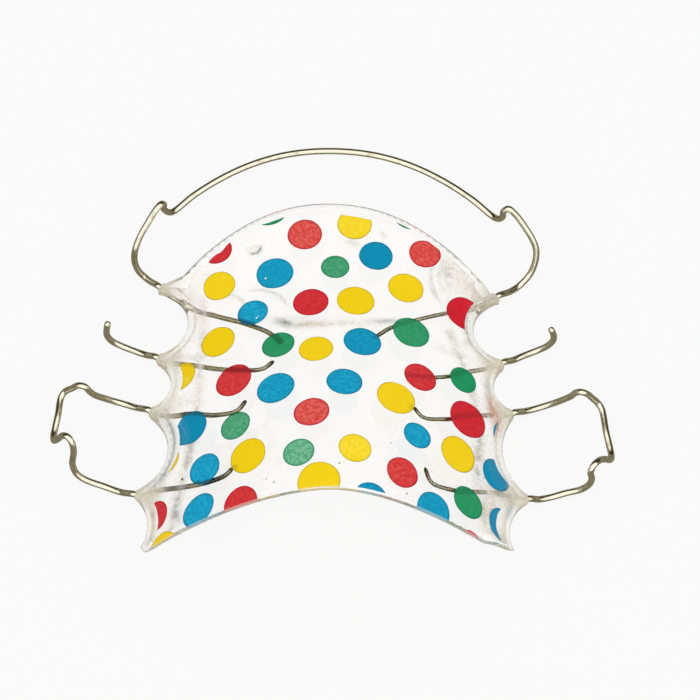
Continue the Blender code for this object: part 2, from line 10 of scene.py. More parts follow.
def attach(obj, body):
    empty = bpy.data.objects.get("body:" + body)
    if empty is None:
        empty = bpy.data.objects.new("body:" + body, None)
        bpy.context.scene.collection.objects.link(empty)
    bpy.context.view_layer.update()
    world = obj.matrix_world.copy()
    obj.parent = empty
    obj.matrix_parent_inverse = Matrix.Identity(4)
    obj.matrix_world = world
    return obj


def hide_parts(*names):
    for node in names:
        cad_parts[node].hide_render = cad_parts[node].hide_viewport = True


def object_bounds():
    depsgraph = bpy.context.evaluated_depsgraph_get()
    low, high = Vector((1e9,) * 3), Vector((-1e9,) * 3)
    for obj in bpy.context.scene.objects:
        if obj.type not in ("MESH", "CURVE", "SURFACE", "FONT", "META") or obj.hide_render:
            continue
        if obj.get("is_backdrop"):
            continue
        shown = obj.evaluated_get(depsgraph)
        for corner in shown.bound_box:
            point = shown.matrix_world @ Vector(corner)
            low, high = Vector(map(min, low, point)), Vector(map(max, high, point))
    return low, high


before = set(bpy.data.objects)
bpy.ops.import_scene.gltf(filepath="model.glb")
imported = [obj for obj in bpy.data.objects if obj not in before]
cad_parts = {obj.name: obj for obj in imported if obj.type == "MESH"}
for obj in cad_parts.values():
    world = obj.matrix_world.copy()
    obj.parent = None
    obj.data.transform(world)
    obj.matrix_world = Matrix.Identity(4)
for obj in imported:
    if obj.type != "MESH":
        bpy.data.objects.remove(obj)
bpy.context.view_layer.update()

# Places and sizes are in millimetres up to the point where a mesh is made. +Y is the front of the
# mouth, +X the wearer's right, and z = 0 is the level of the wires where they cross between teeth.
MM = 0.001


# Baseplate
# One casting of clear cold-cured acrylic, pressed over a plaster model of the palate. Its upper side
# is a print of the gums, pebbled along the teeth, and its edge is trimmed to a scallop round each
# tooth and rounded by hand, with a nose between two teeth wherever a wire comes out.
PLATE_THICKNESS = 2.4
REAR_THICKNESS = 0.5
REAR_TAPER = 13.0
REAR_TAPER_POWER = 1.3
EDGE_ROUND = 0.3
# Heights of the edge's two sides, and the width over which the plate rises from them
RIM_TOP = 2.9
RIM_BOTTOM = 1.0
TOOTH_WALL = 2.6

# The vault of the palate over the arch of the gums
RIM_LEVEL = 4.2
VAULT_RISE = 10.8
VAULT_PEAK = 41.0
ARCH_LENGTH = 37.0
ARCH_HALF_WIDTH = 18.5
ARCH_POWER = 1.72
SECTION_POWER = 1.7
MIDLINE_ROUND = 2.0

# The edge in front and behind
FRONT_Y = 17.3
FRONT_FALL = 8.0
FRONT_HALF_WIDTH = 15.5
FRONT_END = 16.4
FRONT_POWER = 2.15
FRONT_SKEW = -0.03
REAR_Y = -21.1
REAR_HALF_WIDTH = 19.5
LEFT_REAR_DIP = 2.3
LEFT_REAR_POWER = 1.8
RIGHT_REAR_DIP = 3.9
RIGHT_REAR_POWER = 1.6

NOSE_RADIUS = 0.78
NOSE_SWEEP = 65
# Noses from front to rear: x and y of the tip, and heading in degrees
LEFT_NOSES = ((-18.9, 7.7, 145), (-19.0, -0.7, 155), (-19.7, -6.9, 155), (-21.1, -16.6, 168))
RIGHT_NOSES = ((17.8, 6.55, 40), (18.3, -1.3, 30), (19.3, -7.2, 22), (20.8, -17.1, 8))
NOSES = LEFT_NOSES + RIGHT_NOSES
# Depth of each scallop, from front to rear
LEFT_BITES = (2.9, 1.5, 2.4, 0.9)
RIGHT_BITES = (2.6, 1.2, 1.6, 1.0)
LEFT_CORNER = (-20.3, -22.9)
RIGHT_CORNER = (19.1, -23.3)
RIGHT_CORNER_REACH = 3.3
# The acrylic tapers over the wire towards each nose's tip
NOSE_TAPER = 2.2
NOSE_TIP_SHARE = 0.52

NOSE_STEPS = 12
BITE_STEPS = 26
REAR_STEPS = 80
CORNER_STEPS = 10
FRONT_STEPS = 90
SLOPE_REACH = 0.3
HONEYCOMB_ROW = 0.866
MERGE_DISTANCE = 0.00001


def nose_centre(nose):
    x, y, heading = nose
    turn = math.radians(heading)
    return np.array((x - NOSE_RADIUS * math.cos(turn), y - NOSE_RADIUS * math.sin(turn)))


def nose_arc(nose):
    turns = np.radians(nose[2] + NOSE_SWEEP * np.linspace(-1, 1, NOSE_STEPS + 1))
    return nose_centre(nose) + NOSE_RADIUS * np.stack((np.cos(turns), np.sin(turns)), 1)


def bite_arc(start, end, depth):
    """Points between start and end on an arc that bites into the plate, which lies on the left."""
    span = np.linalg.norm(end - start)
    along = (end - start) / span
    inward = np.array((-along[1], along[0]))
    radius = (span * span / 4 + depth * depth) / (2 * depth)
    middle = (start + end) / 2 - inward * (radius - depth)
    half_turn = math.asin(min(1.0, span / (2 * radius)))
    if depth > span / 2:
        half_turn = math.pi - half_turn
    turns = (half_turn * np.linspace(-1, 1, BITE_STEPS + 1))[1:-1, None]
    return middle + radius * (inward * np.cos(turns) + along * np.sin(turns))


def front_edge(x):
    return FRONT_Y - FRONT_FALL * (abs(x) / FRONT_HALF_WIDTH) ** FRONT_POWER + FRONT_SKEW * x


def rear_edge(x):
    share = abs(x) / REAR_HALF_WIDTH
    left, right = LEFT_REAR_DIP * share ** LEFT_REAR_POWER, RIGHT_REAR_DIP * share ** RIGHT_REAR_POWER
    return REAR_Y - np.where(x < 0, left, right)


def left_side():
    """From the bow's nose back to the rear corner."""
    arcs = [nose_arc(nose) for nose in LEFT_NOSES]
    corner = np.array(LEFT_CORNER)
    stretches = []
    for arc, following, bite in zip(arcs, arcs[1:] + [corner[None]], LEFT_BITES):
        stretches += [arc, bite_arc(arc[-1], following[0], bite)]
    return stretches + [corner[None]]


def right_side():
    """From the rear corner forward to the bow's nose."""
    behind = np.array(RIGHT_CORNER)
    stretches = [behind[None]]
    for nose, bite in zip(RIGHT_NOSES[::-1], RIGHT_BITES[::-1]):
        arc = nose_arc(nose)
        stretches += [bite_arc(behind, arc[0], bite), arc]
        behind = arc[-1]
    return stretches


front_x = np.linspace(FRONT_END, -FRONT_END, FRONT_STEPS + 1)
rear_x = np.linspace(LEFT_CORNER[0], RIGHT_CORNER[0] - RIGHT_CORNER_REACH, REAR_STEPS + 1)[1:]
front_line = np.stack((front_x, front_edge(front_x)), 1)
rear_line = np.stack((rear_x, rear_edge(rear_x)), 1)
rear_line = np.concatenate((rear_line, np.linspace(rear_line[-1], RIGHT_CORNER, CORNER_STEPS)[1:-1]))
TOOTH_LINE = np.concatenate(right_side() + [front_line] + left_side())
REAR_LINE = np.concatenate((TOOTH_LINE[-1:], rear_line, TOOTH_LINE[:1]))
OUTLINE = np.concatenate((TOOTH_LINE, rear_line))


def distance_to(line, spots):
    run = np.diff(line, axis=0)
    offset = spots[:, None] - line[:-1]
    share = ((offset * run).sum(2) / (run * run).sum(1)).clip(0, 1)
    return np.linalg.norm(offset - share[..., None] * run, axis=2).min(1)


def ease(share):
    """0 up to 0, 1 from 1 on, and smooth between them."""
    share = np.clip(share, 0, 1)
    return share * share * (3 - 2 * share)


def ramp(value, start, end):
    """0 at start, 1 at end, whichever is larger, and smooth between them."""
    return ease((value - start) / (end - start))


def vault_height(spots):
    """The palate: low behind the incisors, rising backwards, round from side to side."""
    back = np.maximum(FRONT_Y - spots[:, 1], 0)
    rise = VAULT_RISE * np.sin(math.pi / 2 * np.minimum(back / VAULT_PEAK, 1)) ** 2
    forward = 1 - np.minimum(back / ARCH_LENGTH, 1)
    half_width = ARCH_HALF_WIDTH * (1 - forward ** ARCH_POWER) ** (1 / ARCH_POWER)
    across = np.hypot(spots[:, 0], MIDLINE_ROUND) / np.maximum(half_width, MIDLINE_ROUND)
    return RIM_LEVEL + rise * (1 - across ** SECTION_POWER)


def slopes(height, spots):
    right, fore = np.array((SLOPE_REACH, 0)), np.array((0, SLOPE_REACH))
    span = 2 * SLOPE_REACH
    return np.stack(((height(spots + right) - height(spots - right)) / span,
                     (height(spots + fore) - height(spots - fore)) / span), 1)


def slant(height, spots):
    """Length of the surface's normal over one of plan, which turns a wall into a height."""
    return np.sqrt(1 + (slopes(height, spots) ** 2).sum(1))


def wall_share(spots):
    share = np.minimum(1, distance_to(TOOTH_LINE, spots) / TOOTH_WALL)
    return share * (2 - share)


def palate_side(spots):
    return RIM_TOP + (vault_height(spots) - RIM_TOP) * wall_share(spots)


def tongue_side(spots):
    taper = np.clip(1 - distance_to(REAR_LINE, spots) / REAR_TAPER, 0, 1) ** REAR_TAPER_POWER
    thickness = PLATE_THICKNESS - (PLATE_THICKNESS - REAR_THICKNESS) * taper
    under = vault_height(spots) - thickness * slant(vault_height, spots)
    rim = RIM_BOTTOM + (RIM_TOP - REAR_THICKNESS - RIM_BOTTOM) * taper
    return rim + (under - rim) * wall_share(spots)


def inside(loop, spots):
    after = np.roll(loop, -1, axis=0)
    x, y = spots[:, :1], spots[:, 1:]
    rise = after[:, 1] - loop[:, 1]
    rise = np.where(rise == 0, 1, rise)
    crossing_x = loop[:, 0] + (after[:, 0] - loop[:, 0]) * (y - loop[:, 1]) / rise
    crosses = ((loop[:, 1] > y) != (after[:, 1] > y)) & (x < crossing_x)
    return crosses.sum(1) % 2 == 1


def inset_loop(loop, distance):
    """The closed loop moved in by distance along its corners' own directions."""
    first = loop - np.roll(loop, 1, axis=0)
    second = np.roll(loop, -1, axis=0) - loop
    first /= np.linalg.norm(first, axis=1)[:, None]
    second /= np.linalg.norm(second, axis=1)[:, None]
    along = first + second
    along /= np.linalg.norm(along, axis=1)[:, None]
    return loop + np.stack((-along[:, 1], along[:, 0]), 1) * distance


def honeycomb(low, high, spacing):
    """Evenly spread spots over a rectangle."""
    columns, rows = np.arange(low[0], high[0], spacing), np.arange(low[1], high[1], spacing * HONEYCOMB_ROW)
    x, y = np.meshgrid(columns, rows)
    x = x + spacing / 2 * (np.arange(len(rows)) % 2)[:, None]
    return np.stack((x.ravel(), y.ravel()), 1)


def triangulate(loops, spots):
    """Points and faces over closed loops and loose spots, and the places of the first loop's corners."""
    edges = []
    first = 0
    for loop in loops:
        edges += [(first + place, first + (place + 1) % len(loop)) for place in range(len(loop))]
        first += len(loop)
    plan = [Vector(spot) for spot in np.concatenate(list(loops) + [spots]).tolist()]
    points, _, faces, sources, _, _ = delaunay_2d_cdt(plan, edges, [], 0, MERGE_DISTANCE)
    first_loop = np.zeros(len(loops[0]), int)
    for place, source in enumerate(sources):
        for number in source:
            if number < len(first_loop):
                first_loop[number] = place
    points = np.array([tuple(point) for point in points])
    faces = np.array(faces)
    corners = points[faces]
    side_a, side_b = corners[:, 1] - corners[:, 0], corners[:, 2] - corners[:, 0]
    down = side_a[:, 0] * side_b[:, 1] - side_a[:, 1] * side_b[:, 0] < 0
    faces[down] = faces[down][:, ::-1]
    return points, faces, first_loop


def add_mesh(name, vertices, faces, material, shades=None):
    """A mesh from points in millimetres, with named values at its points for the material to read."""
    mesh = bpy.data.meshes.new(name)
    mesh.from_pydata((np.asarray(vertices) * MM).tolist(), [], [tuple(face) for face in faces])
    mesh.shade_smooth()
    mesh.materials.append(material)
    for key, values in (shades or {}).items():
        values = np.asarray(values, np.float32)
        if values.ndim == 2:
            opaque = np.column_stack((values, np.ones(len(values), np.float32)))
            mesh.attributes.new(key, "FLOAT_COLOR", "POINT").data.foreach_set("color", opaque.ravel())
        else:
            mesh.attributes.new(key, "FLOAT", "POINT").data.foreach_set("value", values)
    piece = bpy.data.objects.new(name, mesh)
    bpy.context.collection.objects.link(piece)
    return piece


class Link:
    """A socket in a material. Arithmetic on it adds Math nodes, and node adds any other kind."""

    def __init__(self, tree, socket=None):
        self.tree = tree
        self.socket = socket

    def node(self, kind, settings=None, inputs=None, output=0):
        made = self.tree.nodes.new("ShaderNode" + kind)
        for key, value in (settings or {}).items():
            setattr(made, key, value)
        for key, value in (inputs or {}).items():
            socket = made.inputs[key]
            if isinstance(value, Link):
                self.tree.links.new(value.socket, socket)
            elif socket.type == "RGBA":
                socket.default_value = (*value, 1)
            else:
                socket.default_value = value
        return Link(self.tree, made.outputs[output] if len(made.outputs) else None)

    def maths(self, operation, first, second):
        return self.node("Math", {"operation": operation}, {0: first, 1: second})

    def __add__(self, other):
        return self.maths("ADD", self, other)

    __radd__ = __add__

    def __sub__(self, other):
        return self.maths("SUBTRACT", self, other)

    def __rsub__(self, other):
        return self.maths("SUBTRACT", other, self)

    def __mul__(self, other):
        return self.maths("MULTIPLY", self, other)

    __rmul__ = __mul__


def new_finish(name):
    """An empty material and the link that its nodes start from."""
    material = bpy.data.materials.new(name)
    material.use_nodes = True
    material.node_tree.nodes.clear()
    return material, Link(material.node_tree)


def between(value, low, high):
    """0 below low, 1 above high, and smooth from one to the other."""
    return value.node("MapRange", {"interpolation_type": "SMOOTHSTEP"},
                      {"Value": value, "From Min": low, "From Max": high})


def tinted(share, plain, tint):
    return share.node("Mix", {"data_type": "RGBA"}, {0: share, 6: plain, 7: tint}, 2)


def grain(start, place, scale, detail=3.0, roughness=0.5):
    return start.node("TexNoise", {}, {"Vector": place, "Scale": scale, "Detail": detail,
                                       "Roughness": roughness})


CLEAR = (0.985, 0.98, 0.965)
ACRYLIC_IOR = 1.49
PLASTER = (0.95, 0.94, 0.90)

acrylic, start = new_finish("clear_acrylic")
place = start.node("TexCoord", output="Object")
milk = start.node("Attribute", {"attribute_name": "milk"}, output="Fac")
milk_and_shade_tint = start.node("Attribute", {"attribute_name": "milk_and_shade_tint"}, output="Color")
pebbled = start.node("Attribute", {"attribute_name": "pebbled"}, output="Fac")
wrinkles = grain(start, place, 900.0, 3.0, 0.6)
grit = grain(start, place, 2400.0, 3.0, 0.6)
height = grit * (pebbled * 0.35 + 0.02) + wrinkles * 0.2
relief = start.node("Bump", {}, {"Strength": 0.22, "Distance": 0.0002, "Height": height})
clear = start.node("BsdfPrincipled", {}, {
    "Base Color": CLEAR,
    "Roughness": 0.02 + pebbled * 0.05,
    "IOR": ACRYLIC_IOR,
    "Specular IOR Level": 0.12,
    "Transmission Weight": 1.0,
    "Normal": relief,
})
# Filed and rounded edges stay matt, with plaster in their scratches, and their tint also holds painted
# shade, such as the dark line along the front
filed = start.node("BsdfPrincipled", {}, {
    "Base Color": tinted(between(grit, 0.45, 0.62) * 0.15, milk_and_shade_tint, PLASTER),
    "Roughness": 0.45,
    "Specular IOR Level": 0.2,
    "Normal": relief,
})
matt_share = milk * (0.85 + 0.15 * between(wrinkles, 0.35, 0.6))
surface = start.node("MixShader", {}, {0: matt_share, 1: clear, 2: filed})
start.node("OutputMaterial", {}, {"Surface": surface})

MESH_SPACING = 0.33
# Distances from the edge at which the mesh has rings that follow it
RINGS = (0.42, 0.58, 0.8, 1.05, 1.35, 1.7)
# A loop moved in from the edge keeps the points that are at least this share of the way from it
LOOP_SLACK = 0.98
# Rings down the rounded edge: turn in degrees, the share of milk along the teeth, and the share in front,
# where the painted dark shade line lies on the upper round alone and the face under it stays clear
RIM_RINGS = (
    (65, 0.35, 1.0), (40, 0.6, 1.0), (15, 1.0, 0.1), (-15, 1.0, 0.1), (-40, 0.6, 0.1), (-65, 0.35, 0.1),
)

# An air bubble that broke through the palate side: x, y, radius, depth
BUBBLE = (-8.6, 11.4, 0.9, 0.22)
BUBBLE_SPACING = 0.12
BUBBLE_PATCH = 1.3
# Painted shade on one side of its hollow: that side, and where and how wide the shade is, in shares of its
# radius
BUBBLE_SHADE_SIDE = (0.6, -0.8)
BUBBLE_SHADE_RING = 0.8
BUBBLE_SHADE_WIDTH = 0.25
BUBBLE_SHADE_EDGE = 1 / 1.8
# Folds of the palate: middle x, y, radius, first and last direction in degrees, and height
FOLDS = (
    (-12.3, 2.7, 3.2, -5, 120, 0.10),
    (-8.4, 2.2, 3.7, 5, 115, 0.04),
    (15.2, 8.0, 3.8, 135, 225, 0.12),
    (15.2, 7.7, 4.65, 150, 220, 0.08),
)
FOLD_WIDTH = 0.22
FOLD_FADE = 0.25
# Slow waves of either side, pebbling along the creases, and where they die out towards the edge
SWELL = 0.02
PALATE_SWELL_SIZE = 3.2
TONGUE_SWELL_SIZE = 4.0
PEBBLE = 0.03
PEBBLE_SIZE = 0.9
EDGE_CALM = 0.8
TIP_CALM = 3.0

# Tints of the plaster, wax and air that the cold-cured acrylic keeps under the film, and of the painted
# light, shade and reflections laid with them
PEARL = (0.86, 0.81, 0.75)
BEIGE = (0.64, 0.60, 0.49)
ROSY = (0.80, 0.70, 0.64)
OLIVE = (0.44, 0.39, 0.24)
GREY = (0.44, 0.43, 0.36)
SLATE = (0.14, 0.20, 0.16)
MIST = (0.27, 0.32, 0.32)
STRAW = (0.68, 0.58, 0.30)
# Painted reflections of the red, blue and green dots in the steep acrylic beside them
PINK_DOT_REFLECTION = (0.58, 0.27, 0.19)
RED_DOT_REFLECTION = (0.72, 0.20, 0.13)
BLUE_DOT_REFLECTION = (0.28, 0.42, 0.52)
GREEN_DOT_REFLECTION = (0.36, 0.50, 0.38)
# Spots of tint, clouds as well as painted light, shade and reflections: tint, x, y, half-length,
# half-width, heading in degrees, strength and grit
TINT_SPOTS = (
    # The first five lie across the middle, where the plate's thickness changes: painted light and shade
    (SLATE, -5.1, 1.05, 1.4, 0.60, -25, 1.0, 0.4),
    (OLIVE, -2.2, 0.6, 2.2, 0.42, -2, 0.95, 0.15),
    (GREY, -3.6, 1.5, 2.4, 0.55, -8, 0.35, 0.6),
    (PEARL, 1.9, 0.8, 3.2, 0.45, 3, 0.8, 0.3),
    (MIST, 5.7, 1.4, 1.8, 0.40, 8, 0.85, 0.3),
    (GREY, 2.2, 11.7, 0.9, 0.40, -20, 0.75, 0.7),
    (GREY, 5.4, 12.9, 0.3, 0.8, 20, 0.6, 0.7),
    (PEARL, -8.6, 11.4, 0.8, 0.8, 0, 0.8, 0.4),
    (BEIGE, 15.2, 7.2, 2.9, 1.4, -40, 0.85, 0.45),
    (PEARL, 13.0, 8.6, 1.4, 2.6, 15, 0.8, 0.5),
    (GREY, 12.2, 8.0, 0.35, 2.2, 10, 0.55, 0.6),
    (GREY, 11.0, 5.6, 0.35, 1.8, 25, 0.5, 0.6),
    (BEIGE, 12.4, 3.9, 0.4, 1.6, 5, 0.5, 0.5),
    (GREY, 16.4, 5.5, 1.8, 0.7, 35, 0.85, 0.2),
    (RED_DOT_REFLECTION, 15.9, 4.5, 0.6, 0.3, 45, 0.7, 0.1),
    (BEIGE, -16.9, 7.0, 2.5, 1.0, -32, 0.65, 0.5),
    (PEARL, -14.4, 8.2, 1.8, 1.4, 40, 0.5, 0.6),
    (BEIGE, -15.2, -1.7, 2.6, 0.45, -15, 0.6, 0.4),
    (PEARL, -17.2, -6.7, 2.6, 0.9, -12, 0.65, 0.4),
    (GREY, -17.0, -4.5, 0.25, 1.2, 0, 0.5, 0.4),
    (BEIGE, 12.9, -1.7, 2.0, 0.6, -15, 0.55, 0.7),
    (GREY, 14.3, 0.8, 0.4, 1.5, -10, 0.6, 0.6),
    (GREEN_DOT_REFLECTION, 16.5, -4.7, 0.45, 0.8, 0, 0.8, 0.4),
    (BEIGE, 17.9, -7.7, 1.2, 1.1, 0, 0.85, 0.25),
    (PINK_DOT_REFLECTION, 16.6, -6.6, 0.55, 1.5, 15, 0.9, 0.3),
    (PINK_DOT_REFLECTION, 16.9, -8.2, 0.5, 1.0, 0, 0.85, 0.2),
    (PINK_DOT_REFLECTION, 17.5, -9.6, 0.7, 1.1, 10, 0.9, 0.3),
    (STRAW, 17.5, -11.7, 0.3, 1.5, 0, 0.6, 0.8),
    (GREY, 15.4, -14.6, 0.9, 2.9, 0, 0.65, 0.8),
    (BEIGE, 18.9, -17.5, 2.3, 1.3, 0, 0.85, 0.15),
    (MIST, 17.2, -17.9, 1.3, 0.6, 5, 0.6, 0.3),
    (BEIGE, 16.2, -20.2, 2.8, 0.8, 75, 0.75, 0.45),
    (BEIGE, 18.0, -22.5, 1.5, 0.7, -15, 0.8, 0.3),
    (BLUE_DOT_REFLECTION, 18.6, -19.3, 0.35, 0.7, 0, 0.7, 0.2),
    (BEIGE, 16.8, -18.4, 0.7, 1.8, 10, 0.75, 0.4),
    (MIST, -18.3, -15.5, 1.2, 0.5, 15, 0.8, 0.3),
    (BEIGE, -19.3, -17.1, 1.6, 1.1, 0, 0.85, 0.2),
    (GREY, -15.0, -14.0, 0.5, 1.9, 5, 0.6, 0.8),
    (MIST, -16.4, -19.9, 0.6, 2.3, 5, 0.7, 0.9),
    (PINK_DOT_REFLECTION, -19.0, -19.4, 0.35, 0.7, 0, 0.7, 0.2),
    (STRAW, -19.0, -21.3, 0.35, 1.0, 0, 0.75, 0.2),
    (GREY, -19.6, -22.5, 0.5, 0.6, 0, 0.7, 0.3),
)
# Gritty creases where the gums meet the palate, rosy on the left as far back as ROSY_FADE
LEFT_CREASE = ((-14.1, 5.4), (-13.8, 2.2), (-14.2, -3.5), (-14.3, -8.7), (-15.1, -14.0), (-16.2, -18.8),
               (-16.8, -22.6))
RIGHT_CREASE = ((12.5, 1.0), (14.6, -5.4), (15.6, -10.1), (15.2, -14.1), (15.1, -17.2), (15.9, -21.5),
                (17.6, -23.0))
CREASE_WIDTH = 0.5
ROSY_FADE = (-11, -8)
# A band of painted light and shade inside each scallop, where the wall along the tooth bends the light,
# from front to rear: tint and strength
LEFT_BANDS = ((BEIGE, 0.85), (PEARL, 0.8), (MIST, 1.0), (GREY, 0.7))
RIGHT_BANDS = ((GREY, 0.85), (BEIGE, 0.8), (GREY, 0.7), (BEIGE, 0.8))
BAND_INSET = 0.75
BAND_WIDTH = 0.5
BAND_GRIT = 0.3
PLAIN_GRIT = 0.3
NOSE_TINT = (0.60, 0.56, 0.43)
# Tints that follow the plate's own forms, clouds at the noses and creases and painted shade along the folds
# and at the bubble: tint, strength and grit
NOSE_CLOUD = (NOSE_TINT, 0.85, 0.2)
ROSY_CREASE = (ROSY, 0.75, 0.6)
GREY_CREASE = (GREY, 0.8, 0.75)
FOLD_SHADE = (GREY, 0.65, 0.3)
BUBBLE_PAINTED_SHADE = (MIST, 1.0, 0.1)
# Distances from a nose's middle at which its cloud, its milky skin and its milky edge end and are full
NOSE_CLOUD_REACH = (3.51, 0.91)
NOSE_SKIN_REACH = (1.71, 0.76)
NOSE_EDGE_REACH = (2.08, 0.78)
# The filed edge: its tint in front, a painted dark shade line, along the teeth and behind, and where one
# gives way to the next
FRONT_SHADE_LINE = (0.05, 0.045, 0.03)
TEETH_LINE = (0.50, 0.47, 0.38)
BEHIND_LINE = (0.66, 0.64, 0.55)
FRONT_FADE = (8, 11)
BEHIND_FADE = 0.6
# Where the front edge mirrors the print beside it: x, reach and tint
RED_GLEAM = (0.45, 0.02, 0.02)
OLIVE_GLEAM = (0.16, 0.15, 0.05)
FRONT_GLEAMS = ((-6.2, 1.5, RED_GLEAM), (9.3, 1.6, RED_GLEAM), (0.8, 2.0, OLIVE_GLEAM))
# How milky the edge is, what its front adds to carry the painted shade line, and what its rear adds
EDGE_MILK = 0.6
FRONT_MORE_SHADE = 0.3
BEHIND_MORE_MILK = 0.4
# How milky the skin is at the noses, how strongly the painted shade line shows on it at the front edge, and
# how milky it is along the teeth, where no film covers it
NOSE_SKIN_MILK = 0.75
FRONT_SKIN_SHADE = 0.6
BARE_SKIN_REACH = (0.95, 0.55)
BARE_SKIN_GRIT = 0.4


def fold_shape(spots):
    """1 on the crest of a fold, per fold."""
    crests = []
    for x, y, radius, first, last, height in FOLDS:
        away = np.hypot(spots[:, 0] - x, spots[:, 1] - y) - radius
        heading = np.degrees(np.arctan2(spots[:, 1] - y, spots[:, 0] - x)) % 360
        share = ((heading - first) % 360) / ((last - first) % 360)
        ends = ease(share / FOLD_FADE) * ease((1 - share) / FOLD_FADE)
        crests.append(np.exp(-(away / FOLD_WIDTH) ** 2) * ends)
    return crests


def rough_field(spots, size, seed):
    """Noise from -1 to 1 with features of about this size."""
    return np.array([noise.fractal((x / size, y / size, seed), 0.8, 2.0, 3) for x, y in spots])


def bubble_relief(spots):
    """The round hollow that the bubble left."""
    x, y, radius, depth = BUBBLE
    away = np.hypot(spots[:, 0] - x, spots[:, 1] - y) / radius
    return -depth * np.sqrt(np.clip(1 - away * away, 0, 1))


def oval_strength(spots, x, y, half_length, half_width, degrees, strength):
    """An oval patch's strength at the spots, full in its middle."""
    turn = math.radians(degrees)
    along = (spots[:, 0] - x) * math.cos(turn) + (spots[:, 1] - y) * math.sin(turn)
    across = (spots[:, 1] - y) * math.cos(turn) - (spots[:, 0] - x) * math.sin(turn)
    return strength * np.exp(-(along / half_length) ** 2 - (across / half_width) ** 2)


def tint_over(tints, tint, share):
    """The tints with one more laid over them at this share."""
    return tints + (np.array(tint) - tints) * share[:, None]


skin_loop = inset_loop(OUTLINE, EDGE_ROUND)
low, high = OUTLINE.min(0), OUTLINE.max(0)
spots = honeycomb(low, high, MESH_SPACING)
spots = spots[inside(OUTLINE, spots)]
edge_distance = np.minimum(distance_to(TOOTH_LINE, spots), distance_to(REAR_LINE, spots))
spots = [spots[edge_distance > RINGS[-1] + MESH_SPACING / 2]]
for ring in RINGS:
    moved = inset_loop(OUTLINE, ring)[::2]
    apart = np.minimum(distance_to(TOOTH_LINE, moved), distance_to(REAR_LINE, moved)) > ring * LOOP_SLACK
    spots.append(moved[apart & inside(OUTLINE, moved)])
spots = np.concatenate(spots)
bubble_centre, bubble_reach = np.array(BUBBLE[:2]), BUBBLE[2] * BUBBLE_PATCH
spots = spots[np.linalg.norm(spots - bubble_centre, axis=1) > bubble_reach]
patch = honeycomb(bubble_centre - bubble_reach, bubble_centre + bubble_reach, BUBBLE_SPACING)
patch = patch[np.linalg.norm(patch - bubble_centre, axis=1) < bubble_reach]
points, faces, rim = triangulate([skin_loop], np.concatenate((spots, patch)))
faces = faces[inside(skin_loop, points[faces].mean(1))]

from_teeth = distance_to(TOOTH_LINE, points)
from_rear = distance_to(REAR_LINE, points)
from_tip = np.min([np.linalg.norm(points - np.array(nose[:2]), axis=1) for nose in NOSES], axis=0)
from_nose = np.min([np.linalg.norm(points - nose_centre(nose), axis=1) for nose in NOSES], axis=0)
from_crease = np.minimum(distance_to(np.array(LEFT_CREASE), points),
                         distance_to(np.array(RIGHT_CREASE), points))
crease = np.exp(-(from_crease / CREASE_WIDTH) ** 2)
folds = fold_shape(points)

# Layers of tint, each laid over the ones before it
layers = []


def add_layer(layer, cover):
    """Lay on a layer of tint, given as its tint, strength and grit, where it covers the plate."""
    tint, strength, grit_share = layer
    layers.append((tint, strength * cover, grit_share))


# Painted light and shade on the steep wall inside each scallop
for bites, bands in ((left_side()[1::2], LEFT_BANDS), (right_side()[1::2][::-1], RIGHT_BANDS)):
    for bite, (tint, strength) in zip(bites, bands):
        off_band = (distance_to(bite, points) - BAND_INSET) / BAND_WIDTH
        add_layer((tint, strength, BAND_GRIT), np.exp(-off_band ** 2))
add_layer(NOSE_CLOUD, ramp(from_nose, *NOSE_CLOUD_REACH))
rosy = ramp(points[:, 1], *ROSY_FADE) * (points[:, 0] < 0)
add_layer(ROSY_CREASE, crease * rosy)
add_layer(GREY_CREASE, crease * (1 - rosy))
# Painted shade along each fold's crest
for crest in folds:
    add_layer(FOLD_SHADE, crest)
for tint, x, y, half_length, half_width, heading, strength, grit_share in TINT_SPOTS:
    add_layer((tint, 1.0, grit_share),
              oval_strength(points, x, y, half_length, half_width, heading, strength))
# Painted shade on one side of the bubble's hollow
from_bubble = (points - bubble_centre) / BUBBLE[2]
bubble_ring = (np.linalg.norm(from_bubble, axis=1) - BUBBLE_SHADE_RING) / BUBBLE_SHADE_WIDTH
bubble_side = from_bubble @ np.array(BUBBLE_SHADE_SIDE)
add_layer(BUBBLE_PAINTED_SHADE, np.exp(-bubble_ring ** 2) * ramp(bubble_side, 0, BUBBLE_SHADE_EDGE))

cloud_and_shade_tint, cloud_grit = np.tile(PEARL, (len(points), 1)), np.full(len(points), PLAIN_GRIT)
for tint, cover, grit_share in layers:
    cloud_and_shade_tint = tint_over(cloud_and_shade_tint, tint, cover)
    cloud_grit += (grit_share - cloud_grit) * cover
cloud_and_shade_cover = 1 - np.prod([1 - cover for _, cover, _ in layers], axis=0)

calm = ramp(from_teeth, 0, EDGE_CALM) * ramp(from_rear, 0, EDGE_CALM) * ramp(from_tip, 0, TIP_CALM)
fold_relief = sum(height * crest for crest, (*_, height) in zip(folds, FOLDS))
upper = palate_side(points) + calm * (
    fold_relief + SWELL * rough_field(points, PALATE_SWELL_SIZE, 1.0)
    + PEBBLE * crease * rough_field(points, PEBBLE_SIZE, 2.0)
) + bubble_relief(points)
lower = tongue_side(points) + SWELL * calm * rough_field(points, TONGUE_SWELL_SIZE, 4.0)
nose_middle = (RIM_TOP + RIM_BOTTOM) / 2
nose_share = NOSE_TIP_SHARE + (1 - NOSE_TIP_SHARE) * ramp(from_tip, 0, NOSE_TAPER)
upper = nose_middle + (upper - nose_middle) * nose_share
lower = nose_middle + (lower - nose_middle) * nose_share

